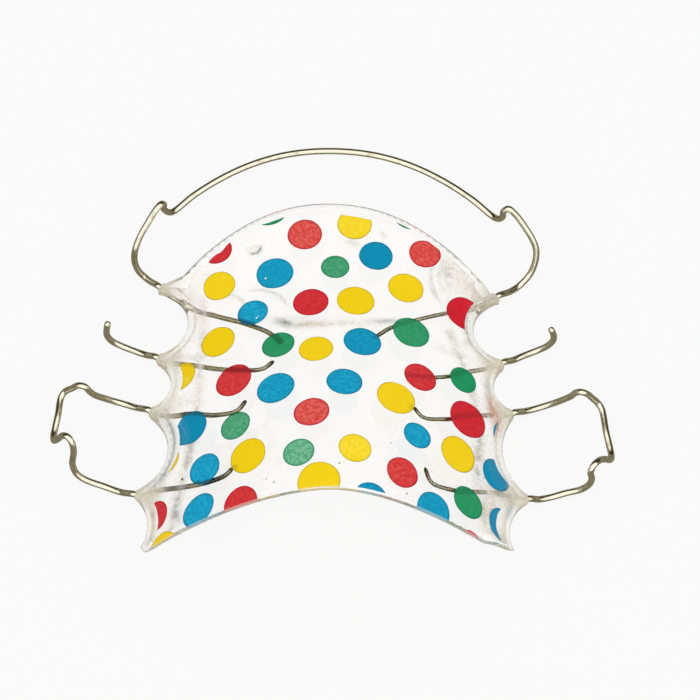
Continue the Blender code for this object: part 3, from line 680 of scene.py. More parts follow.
# The filed edge: a thin dark line of painted shade in front, pale along the teeth and behind, milky at the
# noses
in_front = ramp(points[rim, 1], *FRONT_FADE)
behind = ramp(from_rear[rim], BEHIND_FADE, 0)
at_nose = ramp(from_nose[rim], *NOSE_EDGE_REACH)
edge_tint = tint_over(np.tile(TEETH_LINE, (len(rim), 1)), FRONT_SHADE_LINE, in_front)
for x, reach, tint in FRONT_GLEAMS:
    edge_tint = tint_over(edge_tint, tint, in_front * np.exp(-((points[rim, 0] - x) / reach) ** 4))
edge_tint = tint_over(edge_tint, BEHIND_LINE, behind)
edge_tint = tint_over(edge_tint, NOSE_TINT, at_nose)
edge_milk = np.clip(EDGE_MILK + FRONT_MORE_SHADE * in_front + BEHIND_MORE_MILK * behind + at_nose, 0, 1)
# Outside the film the skin itself carries the clouds and the painted shade
bare_skin = ramp(from_teeth, *BARE_SKIN_REACH) * cloud_and_shade_cover * (1 - BARE_SKIN_GRIT * cloud_grit)
skin_milk = np.maximum(NOSE_SKIN_MILK * ramp(from_nose, *NOSE_SKIN_REACH), bare_skin)
# The painted shade line also lies on the skin's front edge
skin_milk[rim] = np.maximum(skin_milk[rim], FRONT_SKIN_SHADE * in_front)
skin_tint = cloud_and_shade_tint.copy()
skin_tint[rim] = tint_over(skin_tint[rim], edge_tint, in_front)

count = len(points)
vertices = [np.column_stack((points, upper)), np.column_stack((points, lower))]
shell = faces.tolist() + (faces[:, ::-1] + count).tolist()
rows = [rim]
milk_values, milk_and_shade_tints = [skin_milk, 0 * skin_milk], [skin_tint, cloud_and_shade_tint]
middle, half = (upper[rim] + lower[rim]) / 2, (upper[rim] - lower[rim]) / 2
for number, (degrees, side_milk, front_shade) in enumerate(RIM_RINGS):
    turn = math.radians(degrees)
    ring = inset_loop(OUTLINE, EDGE_ROUND * (1 - math.cos(turn)))
    vertices.append(np.column_stack((ring, middle + half * math.sin(turn))))
    rows.append(2 * count + number * len(rim) + np.arange(len(rim)))
    ring_milk = side_milk + (front_shade - side_milk) * in_front
    milk_values.append(edge_milk * np.max((at_nose, behind, ring_milk), axis=0))
    milk_and_shade_tints.append(edge_tint)
rows.append(rim + count)
for above, below in zip(rows, rows[1:]):
    shell += np.stack((above, below, np.roll(below, -1), np.roll(above, -1)), 1).tolist()
shades = {
    "milk": np.concatenate(milk_values),
    "milk_and_shade_tint": np.concatenate(milk_and_shade_tints),
    "pebbled": np.concatenate((cloud_and_shade_cover, np.zeros(count + len(RIM_RINGS) * len(rim)))),
}
plate = add_mesh("clear_plate", np.concatenate(vertices), shell, acrylic, shades)
# Light reaches what lies inside the acrylic as if it weren't there, as in clear plastic
plate.visible_shadow = False
plate.visible_diffuse = False
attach(plate, "root")
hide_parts("baseplate")


# Cloudy layer and painted shade
# Just under the film the acrylic is clouded where it set against damp plaster, and the same sheet of tint
# holds painted light, shade and reflections where clear acrylic bends the light: along the teeth, in the
# creases of the gums, at the noses, at the folds and the bubble, and in a streak behind the incisors.
CLOUDY_DEPTH = 0.30
CLOUDY_THICKNESS = 0.03
CLOUDY_MARGIN = 0.40
FLECK_WHITE = (0.95, 0.93, 0.90)
VEIN_BROWN = (0.34, 0.28, 0.20)


def closed_sheet(faces):
    """The points that the faces use, and the faces of a closed sheet whose upper and lower sides have
    those points each, with the number of faces round its border, which come last."""
    used = np.unique(faces)
    faces = np.searchsorted(used, faces)
    sides = {tuple(side) for face in faces.tolist() for side in zip(face, face[1:] + face[:1])}
    border_faces = [(b, a, a + len(used), b + len(used)) for a, b in sorted(sides) if (b, a) not in sides]
    return used, faces.tolist() + (faces[:, ::-1] + len(used)).tolist() + border_faces, len(border_faces)


cloud_and_shade_finish, start = new_finish("clouded_and_shaded_acrylic")
place = start.node("TexCoord", output="Object")
stain_and_shade = start.node("Attribute", {"attribute_name": "stain_and_shade"}, output="Color")
cloud_and_shade_share = start.node("Attribute", {"attribute_name": "cloud_and_shade_share"}, output="Fac")
gritty = start.node("Attribute", {"attribute_name": "gritty"}, output="Fac")
wrinkles = grain(start, place, 520.0, 4.0, 0.6)
grit = grain(start, place, 1500.0, 3.0, 0.65)
speckled = between(wrinkles * 0.55 + grit * 0.45, 0.41, 0.55)
flecks = between(grain(start, place, 1100.0, 4.0, 0.65), 0.54, 0.64)
# Fine brown lines where the clouds fold
ridge = start.maths("ABSOLUTE", grain(start, place, 480.0, 3.0, 0.55) - 0.5, 0.0)
veined = (1 - between(ridge, 0.003, 0.02)) * 0.5
surface = start.node("BsdfPrincipled", {}, {
    "Base Color": tinted(veined, tinted(flecks * 0.45, stain_and_shade, FLECK_WHITE), VEIN_BROWN),
    "Roughness": 0.6,
    "Specular IOR Level": 0.0,
    "Alpha": cloud_and_shade_share * (1 - gritty * (1 - speckled)),
})
start.node("OutputMaterial", {}, {"Surface": surface})

within = np.minimum(from_teeth, from_rear) > CLOUDY_MARGIN
used, cloud_faces, _ = closed_sheet(faces[within[faces].all(1)])
cloud_top = upper[used] - CLOUDY_DEPTH * slant(palate_side, points[used])
cloud_points = np.concatenate((
    np.column_stack((points[used], cloud_top)),
    np.column_stack((points[used], cloud_top - CLOUDY_THICKNESS)),
))
cloud_and_shade_sheet = add_mesh("cloud_and_shade_layer", cloud_points, cloud_faces, cloud_and_shade_finish, {
    "stain_and_shade": np.tile(cloud_and_shade_tint[used], (2, 1)),
    "cloud_and_shade_share": np.concatenate((cloud_and_shade_cover[used], np.zeros(len(used)))),
    "gritty": np.tile(cloud_grit[used], 2),
})
cloud_and_shade_sheet.visible_shadow = False
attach(cloud_and_shade_sheet, "root")


# Wires
# The labial bow, two hooks and two Adams clasps, each bent from one length of 0.7 mm hard stainless
# wire with pliers. Their ends lie half-way through the acrylic, which was cast round them, and they
# come out at the tips of the noses.
WIRE_RADIUS = 0.35
WIRE_STEP = 0.22
WIRE_SIDES = 20
# How far and how often the wire's thickness wanders from the pliers, and how small its cut ends are
WIRE_HAND = 0.02
WIRE_HAND_RATE = 0.7
CUT_END_SHARE = 0.35
# The ends that the acrylic holds were rubbed thinner and rough, so that it grips them: how much thinner,
# how far inside the edge that starts and is full, and how far the darkening at their tips reaches
LEFT_HELD_THINNING = 0.16
RIGHT_HELD_THINNING = 0.28
HELD_REACH = (0.2, 1.4)
TIP_REACH = 0.9
# The film's seat over the wires: its margins from the edge, the run-in of its border, and its depth
FILM_MARGIN = 0.85
FILM_REAR_MARGIN = 0.45
SEAT_RAMP = 0.2
SEAT_DEPTH = 0.4

LEFT_BOW_TAG = ((-5.6, -1.3), (-6.6, 0.0), (-9.1, 1.7), (-12.1, 3.2), (-14.6, 4.6), (-16.6, 6.0))
RIGHT_BOW_TAG = ((4.5, -0.7), (6.1, 0.75), (9.0, 2.3), (12.3, 3.8), (14.7, 4.8))
LEFT_HOOK_TAG = ((-6.1, -3.9), (-7.2, -4.75), (-9.8, -4.4), (-12.4, -3.5), (-15.2, -2.2))
RIGHT_HOOK_TAG = ((7.9, -5.5), (9.0, -5.4), (10.7, -5.1), (12.7, -4.3), (15.2, -2.8))
LEFT_MESIAL_TAG = ((-8.9, -8.6), (-9.8, -9.7), (-12.0, -9.65), (-14.4, -8.7), (-17.0, -7.9))
LEFT_DISTAL_TAG = ((-10.2, -16.8), (-11.0, -17.5), (-13.2, -17.75), (-15.6, -17.4), (-18.0, -16.8))
RIGHT_MESIAL_TAG = ((8.2, -9.6), (9.2, -10.7), (11.4, -10.35), (14.0, -9.25), (16.6, -8.0))
RIGHT_DISTAL_TAG = ((9.4, -17.0), (10.1, -18.6), (12.3, -18.85), (14.8, -18.2), (17.4, -17.4))

# Free wire: x, y, and the height of the wire's middle over the level of the crossings
LEFT_BOW_LOOP = (
    (-19.9, 8.8, 0.5), (-20.5, 9.5, 0.0), (-21.2, 9.9, 0.8), (-21.6, 10.4, 2.3),
    (-21.5, 11.0, 3.7), (-20.9, 12.0, 5.2), (-20.0, 13.0, 6.6), (-19.2, 13.9, 7.6),
    (-18.6, 14.6, 7.8), (-18.3, 15.0, 6.9), (-18.4, 15.3, 5.2),
)
RIGHT_BOW_LOOP = (
    (19.2, 7.6, 0.5), (20.2, 8.5, 0.0), (21.3, 9.4, 0.8), (21.9, 10.3, 2.1),
    (22.0, 11.2, 3.4), (21.6, 11.9, 4.5), (20.7, 12.8, 5.9), (19.7, 13.6, 7.2),
    (18.9, 14.0, 7.9), (18.4, 14.1, 7.1), (18.3, 14.3, 5.2),
)
LEFT_HOOK = (
    (-20.2, 0.1, 0.4), (-21.4, 0.7, 0.0), (-22.8, 1.2, 0.2), (-23.9, 1.5, 0.9),
    (-24.4, 1.7, 2.0), (-24.4, 1.9, 3.0), (-24.2, 2.3, 4.2),
)
RIGHT_HOOK = (
    (19.4, -0.5, 0.4), (20.6, 0.2, 0.0), (22.0, 0.7, 0.2), (23.1, 0.9, 1.0),
    (23.7, 1.1, 2.1), (23.7, 1.3, 3.1), (23.3, 1.6, 4.2),
)
LEFT_ADAMS = (
    (-21.1, -6.1, 0.4), (-22.5, -5.5, 0.0), (-24.2, -5.3, 0.8), (-25.4, -5.5, 2.3),
    (-26.0, -5.8, 4.2), (-26.4, -5.9, 5.6), (-27.0, -5.7, 5.5), (-27.9, -5.4, 4.0),
    (-28.7, -5.3, 2.9), (-29.1, -5.8, 2.6), (-29.4, -8.0, 2.6), (-29.8, -10.4, 2.6),
    (-29.7, -11.0, 3.0), (-29.2, -11.3, 4.1), (-28.6, -11.4, 5.3), (-28.0, -11.8, 5.8),
    (-27.6, -12.3, 5.3), (-27.5, -12.8, 4.0), (-27.7, -13.5, 2.4), (-27.3, -14.1, 1.2),
    (-26.4, -14.5, 0.5), (-24.6, -15.0, 0.0), (-22.6, -15.8, 0.2),
)
RIGHT_ADAMS = (
    (20.6, -6.5, 0.4), (21.9, -6.0, 0.0), (23.3, -5.7, 0.4), (24.4, -5.7, 1.4),
    (25.4, -6.0, 3.3), (25.9, -6.3, 5.0), (26.4, -6.6, 5.8), (27.0, -6.6, 5.3),
    (27.6, -6.5, 4.0), (28.3, -6.6, 2.8), (28.7, -7.2, 2.6), (29.1, -9.8, 2.6),
    (29.6, -12.7, 2.6), (29.4, -13.3, 3.2), (28.8, -13.7, 4.3), (28.1, -14.3, 5.4),
    (27.5, -15.0, 5.8), (27.2, -15.5, 5.1), (27.4, -15.6, 3.4), (27.1, -15.7, 1.9),
    (26.3, -15.8, 0.9), (24.8, -15.9, 0.2), (23.2, -16.3, 0.0), (21.9, -16.7, 0.4),
)
BOW_STANDOFF = 5.8
BOW_FALL = 6.0
BOW_HALF_WIDTH = 15.6
BOW_END = 17.6
BOW_SKEW = -0.02
BOW_HEIGHT = 4.0
BOW_STEPS = 14


def wire_level(spots):
    """Half-way between the film's seat and the tongue side."""
    side = (distance_to(TOOTH_LINE, spots) - FILM_MARGIN) / SEAT_RAMP
    rear = (distance_to(REAR_LINE, spots) - FILM_REAR_MARGIN) / SEAT_RAMP
    seat = SEAT_DEPTH * slant(palate_side, spots) * np.clip(np.minimum(side, rear), 0, 1)
    return (palate_side(spots) - seat + tongue_side(spots)) / 2


def embedded(tag, nose):
    """The wire inside the plate, from its tip out to the tip of the nose."""
    spots = np.array(list(tag) + [tuple(nose_centre(nose))])
    rows = np.column_stack((spots, wire_level(spots)))
    return np.concatenate((rows, [(nose[0], nose[1], (RIM_TOP + RIM_BOTTOM) / 2)]))


def free_wire(rows):
    return np.array(rows) + (0, 0, WIRE_RADIUS)


def bow_arch():
    """The bow's round stretch over the front teeth, from left to right."""
    x = np.linspace(-BOW_END, BOW_END, BOW_STEPS + 1)
    fall = BOW_FALL * (abs(x) / BOW_HALF_WIDTH) ** FRONT_POWER
    y = FRONT_Y + BOW_STANDOFF - fall + BOW_SKEW * x
    return np.column_stack((x, y, np.full(len(x), BOW_HEIGHT)))


def smooth_path(rows):
    """A smooth curve through the rows, with knots spaced by the root of the gaps between them."""
    spots = np.concatenate(([2 * rows[0] - rows[1]], rows, [2 * rows[-1] - rows[-2]]))
    path = []
    for before, start, end, after in zip(spots, spots[1:], spots[2:], spots[3:]):
        knots = np.cumsum([0] + [math.sqrt(np.linalg.norm(b - a))
                                 for a, b in ((before, start), (start, end), (end, after))])
        pieces = max(2, round(np.linalg.norm(end - start) / WIRE_STEP))
        for knot in np.linspace(knots[1], knots[2], pieces, endpoint=False):
            low = before + (start - before) * knot / knots[1]
            middle = start + (end - start) * (knot - knots[1]) / (knots[2] - knots[1])
            high = end + (after - end) * (knot - knots[2]) / (knots[3] - knots[2])
            low_middle = low + (middle - low) * knot / knots[2]
            middle_high = middle + (high - middle) * (knot - knots[1]) / (knots[3] - knots[1])
            share = (knot - knots[1]) / (knots[2] - knots[1])
            path.append(low_middle + (middle_high - low_middle) * share)
    return np.array(path + [spots[-2]])


def make_wire(name, path, material, seed):
    """A round wire with rounded cut ends along the path."""
    from_edge = distance_to(np.concatenate((OUTLINE, OUTLINE[:1])), path[:, :2])
    held = np.where(inside(OUTLINE, path[:, :2]), ramp(from_edge, *HELD_REACH), 0)
    ahead = np.gradient(path, axis=0)
    ahead /= np.linalg.norm(ahead, axis=1)[:, None]
    length = np.concatenate(([0], np.cumsum(np.linalg.norm(np.diff(path, axis=0), axis=1))))
    side = np.cross(ahead[0], (0.0, 0.0, 1.0))
    rings = []
    turns = np.linspace(0, 2 * math.pi, WIRE_SIDES, endpoint=False)
    for place, (spot, heading) in enumerate(zip(path, ahead)):
        side = side - heading * (side @ heading)
        side = side / np.linalg.norm(side)
        up = np.cross(heading, side)
        from_end = min(length[place], length[-1] - length[place])
        cap = math.sqrt(max(0.0, 1 - (1 - min(1.0, from_end / WIRE_RADIUS)) ** 2))
        bent = 1 + WIRE_HAND * noise.noise((length[place] * WIRE_HAND_RATE, seed, 0.0))
        thinning = RIGHT_HELD_THINNING if spot[0] > 0 else LEFT_HELD_THINNING
        radius = WIRE_RADIUS * max(CUT_END_SHARE, cap) * bent * (1 - thinning * held[place])
        rings.append(spot + radius * (np.outer(np.cos(turns), side) + np.outer(np.sin(turns), up)))
    vertices = np.concatenate(rings)
    faces = []
    for ring in range(len(path) - 1):
        first = ring * WIRE_SIDES + np.arange(WIRE_SIDES)
        following = ring * WIRE_SIDES + (np.arange(WIRE_SIDES) + 1) % WIRE_SIDES
        faces += np.stack((first, following, following + WIRE_SIDES, first + WIRE_SIDES), 1).tolist()
    last = (len(path) - 1) * WIRE_SIDES
    faces += [list(range(WIRE_SIDES))[::-1], list(range(last, last + WIRE_SIDES))]
    tip = held * np.exp(-(np.minimum(length, length[-1] - length) / TIP_REACH) ** 2)
    return add_mesh(name, vertices, faces, material,
                    {"held": np.repeat(held, WIRE_SIDES), "tip": np.repeat(tip, WIRE_SIDES)})


STEEL = (0.80, 0.77, 0.62)
STEEL_TARNISH = (0.40, 0.37, 0.20)
# Painted shade of the wire where the acrylic holds it
STEEL_HELD_SHADED = (0.42, 0.40, 0.27)
STEEL_HELD_DEEP_SHADE = (0.12, 0.12, 0.09)
STEEL_TIP = (0.10, 0.09, 0.06)
steel, start = new_finish("drawn_stainless_wire")
place = start.node("TexCoord", output="Object")
held = start.node("Attribute", {"attribute_name": "held"}, output="Fac")
tip = start.node("Attribute", {"attribute_name": "tip"}, output="Fac")
patina = grain(start, place, 900.0, 4.0, 0.6)
scratches = grain(start, place, 5200.0, 2.0, 0.7)
worn = between(patina, 0.50, 0.68)
relief = start.node("Bump", {}, {"Strength": 0.12, "Distance": 0.00003, "Height": scratches})
colour = tinted(worn * 0.5, STEEL, STEEL_TARNISH)
stretches = grain(start, place, 350.0, 1.0)
# Painted shade: the held ends are darker inside the acrylic, in stretches, and brighter on the right
along_x = start.node("SeparateXYZ", {}, {0: place}, "X")
held_shade = between(stretches, 0.42, 0.60) * (1 - 0.75 * between(along_x, -0.002, 0.006))
colour = tinted(held, colour, tinted(held_shade, STEEL_HELD_SHADED, STEEL_HELD_DEEP_SHADE))
colour = tinted(tip * 0.8, colour, STEEL_TIP)
surface = start.node("BsdfPrincipled", {}, {
    "Base Color": colour,
    "Roughness": 0.11 + worn * 0.10 + held * 0.15,
    "Metallic": 1.0,
    "Normal": relief,
})
start.node("OutputMaterial", {}, {"Surface": surface})

left_bow_end = np.concatenate((embedded(LEFT_BOW_TAG, LEFT_NOSES[0]), free_wire(LEFT_BOW_LOOP)))
right_bow_end = np.concatenate((embedded(RIGHT_BOW_TAG, RIGHT_NOSES[0]), free_wire(RIGHT_BOW_LOOP)))
WIRES = {
    "labial_bow": np.concatenate((left_bow_end, bow_arch(), right_bow_end[::-1])),
    "left_hook_clasp": np.concatenate((embedded(LEFT_HOOK_TAG, LEFT_NOSES[1]), free_wire(LEFT_HOOK))),
    "right_hook_clasp": np.concatenate((embedded(RIGHT_HOOK_TAG, RIGHT_NOSES[1]), free_wire(RIGHT_HOOK))),
    "left_adams_clasp": np.concatenate((
        embedded(LEFT_MESIAL_TAG, LEFT_NOSES[2]), free_wire(LEFT_ADAMS),
        embedded(LEFT_DISTAL_TAG, LEFT_NOSES[3])[::-1],
    )),
    "right_adams_clasp": np.concatenate((
        embedded(RIGHT_MESIAL_TAG, RIGHT_NOSES[2]), free_wire(RIGHT_ADAMS),
        embedded(RIGHT_DISTAL_TAG, RIGHT_NOSES[3])[::-1],
    )),
}
wire_paths = {node: smooth_path(rows) for node, rows in WIRES.items()}
for seed, (node, path) in enumerate(wire_paths.items()):
    wire = make_wire("drawn_" + node, path, steel, seed * 5.7)
    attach(wire, "root")
    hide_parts(node)


# Printed film
# A clear carrier with polka dots of red, yellow, blue and green ink, laid on the palate side before
# the acrylic set and bonded in just under its surface. The trimmed edge cuts the outer dots.
FILM_REAR_EDGE = 0.12
INK_DEPTH = 0.16
INK_THICKNESS = 0.09
DOT_SIDES = 72
DOT_SPACING = 0.21
DOT_WOBBLE = 0.02
# Mesh rings just inside a dot's rim, and the reach of the even mesh inside them, as shares of its radius
DOT_RINGS = (0.95, 0.88)
DOT_INNER = 0.8
# Where the trimmed film ends nearer to the edge or farther from it: x, y, reach and extra margin
TRIMS = (
    (2.9, 17.2, 3.4, 0.95), (-14.3, 10.9, 2.4, 0.45), (-14.0, 11.5, 0.9, -0.35), (-6.7, 16.2, 2.0, 0.42),
    (8.2, 15.2, 1.6, -0.1), (-17.4, -3.9, 2.3, 0.35), (-18.2, -1.9, 0.9, 0.6), (-18.3, -11.4, 3.4, 0.45),
    (-19.6, -19.7, 2.0, 0.25), (18.6, -13.4, 1.5, 0.3), (18.4, -20.8, 1.6, 0.6), (-17.5, -23.0, 2.8, 0.08),
    (-1.4, -21.1, 2.6, 0.2), (4.2, -21.3, 3.0, 0.4),
)

# The dots by colour: x, y, diameter, and how worn the print is
DOTS = {
    "red": (
        (-3.1, 12.8, 3.8, 0.55), (9.9, 10.7, 3.5, 0.5), (-12.65, 11.4, 3.4, 0.15), (-2.4, 3.7, 3.9, 0.15),
        (14.0, 3.8, 3.9, 0.05), (9.2, -5.7, 3.7, 0.2), (-10.5, -5.8, 4.2, 0.25), (14.2, -9.8, 4.5, 0.1),
        (-2.2, -11.5, 3.8, 0.6), (7.2, -18.3, 3.6, 0.3), (-9.5, -21.5, 4.2, 0.2),
        (-18.55, -19.75, 3.3, 0.1),
    ),
    "yellow": (
        (2.3, 14.1, 3.8, 0.5), (-12.3, 6.9, 3.6, 0.2), (7.8, 6.1, 3.9, 0.15), (2.4, 3.9, 4.1, 0.1),
        (-12.3, -0.3, 3.9, 0.1), (-1.8, -2.9, 3.7, 0.15), (-16.1, -3.7, 3.3, 0.1), (6.6, -9.0, 4.3, 0.2),
        (13.1, -14.5, 4.3, 0.2), (-8.8, -15.9, 4.2, 0.1), (2.3, -16.1, 3.5, 0.6), (-17.35, -13.6, 3.0, 0.1),
        (-1.4, -20.1, 4.5, 0.15), (-17.7, -24.15, 4.4, 0.1),
    ),
    "blue": (
        (4.6, 10.1, 3.7, 0.1), (-6.3, 7.9, 4.1, 0.35), (-8.6, 2.9, 3.4, 0.5), (3.1, -1.8, 4.1, 0.25),
        (1.2, -7.5, 3.8, 0.4), (-6.0, -7.8, 4.2, 0.4), (-15.0, -10.6, 4.0, 0.1), (8.8, -13.4, 3.2, 0.45),
        (17.2, -15.5, 3.8, 0.1), (-13.4, -16.2, 3.6, 0.5), (-14.0, -20.8, 3.8, 0.5),
        (17.65, -21.0, 3.6, 0.1), (10.4, -21.9, 4.1, 0.35), (3.9, -21.9, 3.7, 0.2),
    ),
    "green": (
        (0.2, 8.5, 3.1, 0.3), (8.3, 0.2, 4.1, 0.15), (-5.8, -1.9, 3.6, 0.1), (13.8, -4.9, 3.2, 0.05),
        (-10.2, -11.8, 3.5, 0.45), (-3.5, -16.5, 3.4, 0.8), (14.1, -19.9, 3.6, 0.1),
    ),
}
# Slivers of further dots that the edge leaves
SLIVERS = {
    "red": ((14.2, -24.9, 3.8, 0.2),),
    "yellow": (),
    "blue": ((18.42, -10.4, 3.7, 0.1),),
    "green": ((-7.0, 16.0, 3.8, 0.1), (8.35, 15.55, 3.6, 0.1)),
}
# Slope of the film, right and forward, where it bridged a fold instead of following the palate
BRIDGED = {
    "dot_blue_07": (0.60, -0.10), "dot_blue_10": (0.51, -0.11), "dot_blue_11": (0.62, -0.50),
    "dot_green_07": (-0.66, -0.28),
}
# Ink where it is thick, the same ink where it is thin, and its brightness with a wire under it
INKS = {
    "red": ((0.60, 0.008, 0.025), (0.78, 0.16, 0.12), 0.50),
    "yellow": ((0.86, 0.60, 0.002), (0.95, 0.74, 0.05), 0.72),
    "blue": ((0.0, 0.235, 0.42), (0.02, 0.46, 0.70), 0.42),
    "green": ((0.006, 0.27, 0.10), (0.19, 0.50, 0.31), 0.50),
}
INK_RIM_SHADE = 0.62


def film_loop():
    """Border of the film, without the corners that cross over."""
    of_teeth = np.arange(len(OUTLINE)) < len(TOOTH_LINE)
    side = FILM_MARGIN + SEAT_RAMP
    margin = np.where(of_teeth, side, FILM_REAR_EDGE)
    for x, y, reach, extra in TRIMS:
        away = np.hypot(OUTLINE[:, 0] - x, OUTLINE[:, 1] - y)
        margin = margin + extra * np.exp(-(away / reach) ** 4)
    moved = inset_loop(OUTLINE, margin[:, None])
    clear = distance_to(TOOTH_LINE, moved) > np.where(of_teeth, margin, side) * LOOP_SLACK
    clear &= distance_to(REAR_LINE, moved) > FILM_REAR_EDGE * LOOP_SLACK
    return moved[clear & inside(OUTLINE, moved)]


def make_ink(name, thick, thin, wire_shade):
    """Screen ink: a full dark rim, and inside it a mottled, streaky coat, thinner where it is worn."""
    material, start = new_finish(name)
    place = start.node("TexCoord", output="Object")
    from_rim = start.node("Attribute", {"attribute_name": "from_rim"}, output="Fac")
    worn = start.node("Attribute", {"attribute_name": "worn"}, output="Fac")
    over_wire = start.node("Attribute", {"attribute_name": "over_wire"}, output="Fac")
    stretched = start.node("Mapping", {}, {"Vector": place, "Rotation": (0.0, 0.0, 0.5),
                                           "Scale": (0.55, 1.0, 1.0)})
    blotches = grain(start, place, 2600.0, 3.0, 0.65)
    streaks = grain(start, stretched, 5200.0, 3.0, 0.65)
    thinness = between(blotches * 0.55 + streaks * 0.45, 0.42, 0.62) * between(from_rim, 0.08, 0.32)
    colour = tinted(thinness * worn * 1.1 + worn * 0.5, thick, thin)
    colour = tinted(1 - between(from_rim, 0.0, 0.15), colour, [part * INK_RIM_SHADE for part in thick])
    colour = tinted(over_wire, colour, [part * wire_shade + 0.01 for part in thick])
    relief = start.node("Bump", {}, {"Strength": 0.15, "Distance": 0.00005, "Height": streaks})
    surface = start.node("BsdfPrincipled", {}, {
        "Base Color": colour,
        "Roughness": 0.5 + streaks * 0.2,
        "Specular IOR Level": 0.05,
        "Normal": relief,
    })
    start.node("OutputMaterial", {}, {"Surface": surface})
    return material


# The plan of the wires under the film, as it shows through the ink from the rear, and the distances
# from a wire's middle at which that shadow ends and is full
WIRE_PARALLAX = (0.0, -0.2)
WIRE_SHADOW = (0.46, 0.26)
# Right of the middle the ink hides the wires by half, and wholly from these places forward
RIGHT_HIDING = 0.5
HIDDEN_X = (11, 14)
HIDDEN_Y = (-4, -1)
held_wires = []
for path in wire_paths.values():
    held = inside(OUTLINE, path[:, :2])
    middle = len(path) // 2
    held_wires += [path[part][held[part]][:, :2] + WIRE_PARALLAX
                   for part in (slice(0, middle), slice(middle, None)) if held[part].sum() > 2]


def make_dot(name, row, slope, border, ink, seed):
    """A round wafer of ink that follows the palate side, cut where it meets the film's border."""
    centre, radius, worn = np.array(row[:2]), row[2] / 2, row[3]
    normal = Vector((-slope[0], -slope[1], 1)).normalized()
    side = Vector((0, 1, 0)).cross(normal).normalized()
    fore = normal.cross(side)
    tilted_axes = np.array((side[:2], fore[:2]))
    turns = np.linspace(0, 2 * math.pi, DOT_SIDES, endpoint=False)
    wobble = np.array([noise.noise((1.3 * math.cos(turn), 1.3 * math.sin(turn), seed)) for turn in turns])
    reach = radius * (1 - DOT_WOBBLE * (0.5 + wobble))
    circle = centre + (np.stack((np.cos(turns), np.sin(turns)), 1) * reach[:, None]) @ tilted_axes
    rings = [centre + (circle - centre) * share for share in DOT_RINGS]
    spots = honeycomb(centre - radius, centre + radius, DOT_SPACING)
    spots = spots[inside(centre + (circle - centre) * DOT_INNER, spots)]
    spots = np.concatenate(rings + [spots])
    cut = not inside(border, circle).all()
    if cut:
        spots = spots[inside(border, spots)]
    points, faces, _ = triangulate([circle, border] if cut else [circle], spots)
    middles = points[faces].mean(1)
    used, shell, border_count = closed_sheet(faces[inside(circle, middles) & inside(border, middles)])
    points = points[used]
    lean = slant(palate_side, points)
    level = palate_side(points)
    top = np.column_stack((points, level - INK_DEPTH * lean))
    bottom = np.column_stack((points, level - (INK_DEPTH + INK_THICKNESS) * lean))
    plan = (points - centre) @ np.linalg.inv(tilted_axes)
    from_rim = np.minimum(radius * 0.99 - np.linalg.norm(plan, axis=1), 1)
    from_wire = np.min([distance_to(line, points) for line in held_wires], axis=0)
    wholly = ramp(points[:, 0], *HIDDEN_X) * ramp(points[:, 1], *HIDDEN_Y)
    hidden = np.where(points[:, 0] > 0, RIGHT_HIDING + (1 - RIGHT_HIDING) * wholly, 0)
    over_wire = ramp(from_wire, *WIRE_SHADOW) * (1 - hidden)
    dot = add_mesh(name, np.concatenate((top, bottom)), shell, ink, {
        "from_rim": np.tile(from_rim, 2),
        "over_wire": np.tile(over_wire, 2),
        "worn": np.full(2 * len(points), worn),
    })
    smooth = [True] * (len(shell) - border_count) + [False] * border_count
    dot.data.polygons.foreach_set("use_smooth", smooth)
    return dot


border = film_loop()
for colour, rows in DOTS.items():
    ink = make_ink(colour + "_ink", *INKS[colour])
    for number, row in enumerate(rows, 1):
        node = "dot_%s_%02d" % (colour, number)
        slope = BRIDGED.get(node) or slopes(vault_height, np.array([row[:2]]))[0]
        dot = make_dot("printed_" + node, row, slope, border, ink, number * 7.3)
        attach(dot, "root")
        colour + "_ink"
        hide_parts(node)
    for number, row in enumerate(SLIVERS[colour], 1):
        slope = slopes(vault_height, np.array([row[:2]]))[0]
        sliver = make_dot("printed_sliver_%s_%d" % (colour, number), row, slope, border, ink, number * 3.1)
        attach(sliver, "root")
        colour + "_ink"


# Trapped grit and painted glints
# Tiny white flecks over the ink are painted glints, highlights of the light on the surface above them; a
# few grains of plaster and grit were caught in the acrylic when the film was laid in it.
GRAIN_FLATNESS = 0.4
GRIT_BLACK = (0.01, 0.01, 0.01)
GLINT_WHITE = (1.0, 1.0, 0.98)
# x, y, radius, depth under the palate side, and shade from black grit to a white painted glint
GRIT_AND_GLINTS = (
    (-7.3, 7.3, 0.11, 0.08, 1.0), (-8.2, 2.1, 0.10, 0.08, 1.0), (-8.0, 2.3, 0.07, 0.08, 1.0),
    (3.4, 0.5, 0.08, 0.08, 1.0), (-15.8, -16.6, 0.13, 0.2, 0.0), (-6.0, -19.6, 0.13, 0.5, 0.45),
    (-6.8, -19.1, 0.09, 0.5, 0.4), (0.7, -18.0, 0.11, 0.5, 0.35), (6.0, -14.9, 0.09, 0.5, 0.4),
    (7.6, -20.6, 0.12, 0.5, 0.4),
)

grit_and_glint_finish, start = new_finish("trapped_grit_and_painted_glints")
shade = start.node("Attribute", {"attribute_name": "shade"}, output="Fac")
place = start.node("TexCoord", output="Object")
surface = start.node("BsdfPrincipled", {}, {
    "Base Color": tinted(shade, GRIT_BLACK, GLINT_WHITE),
    "Roughness": 0.3 + 0.3 * grain(start, place, 6000.0),
})
start.node("OutputMaterial", {}, {"Surface": surface})

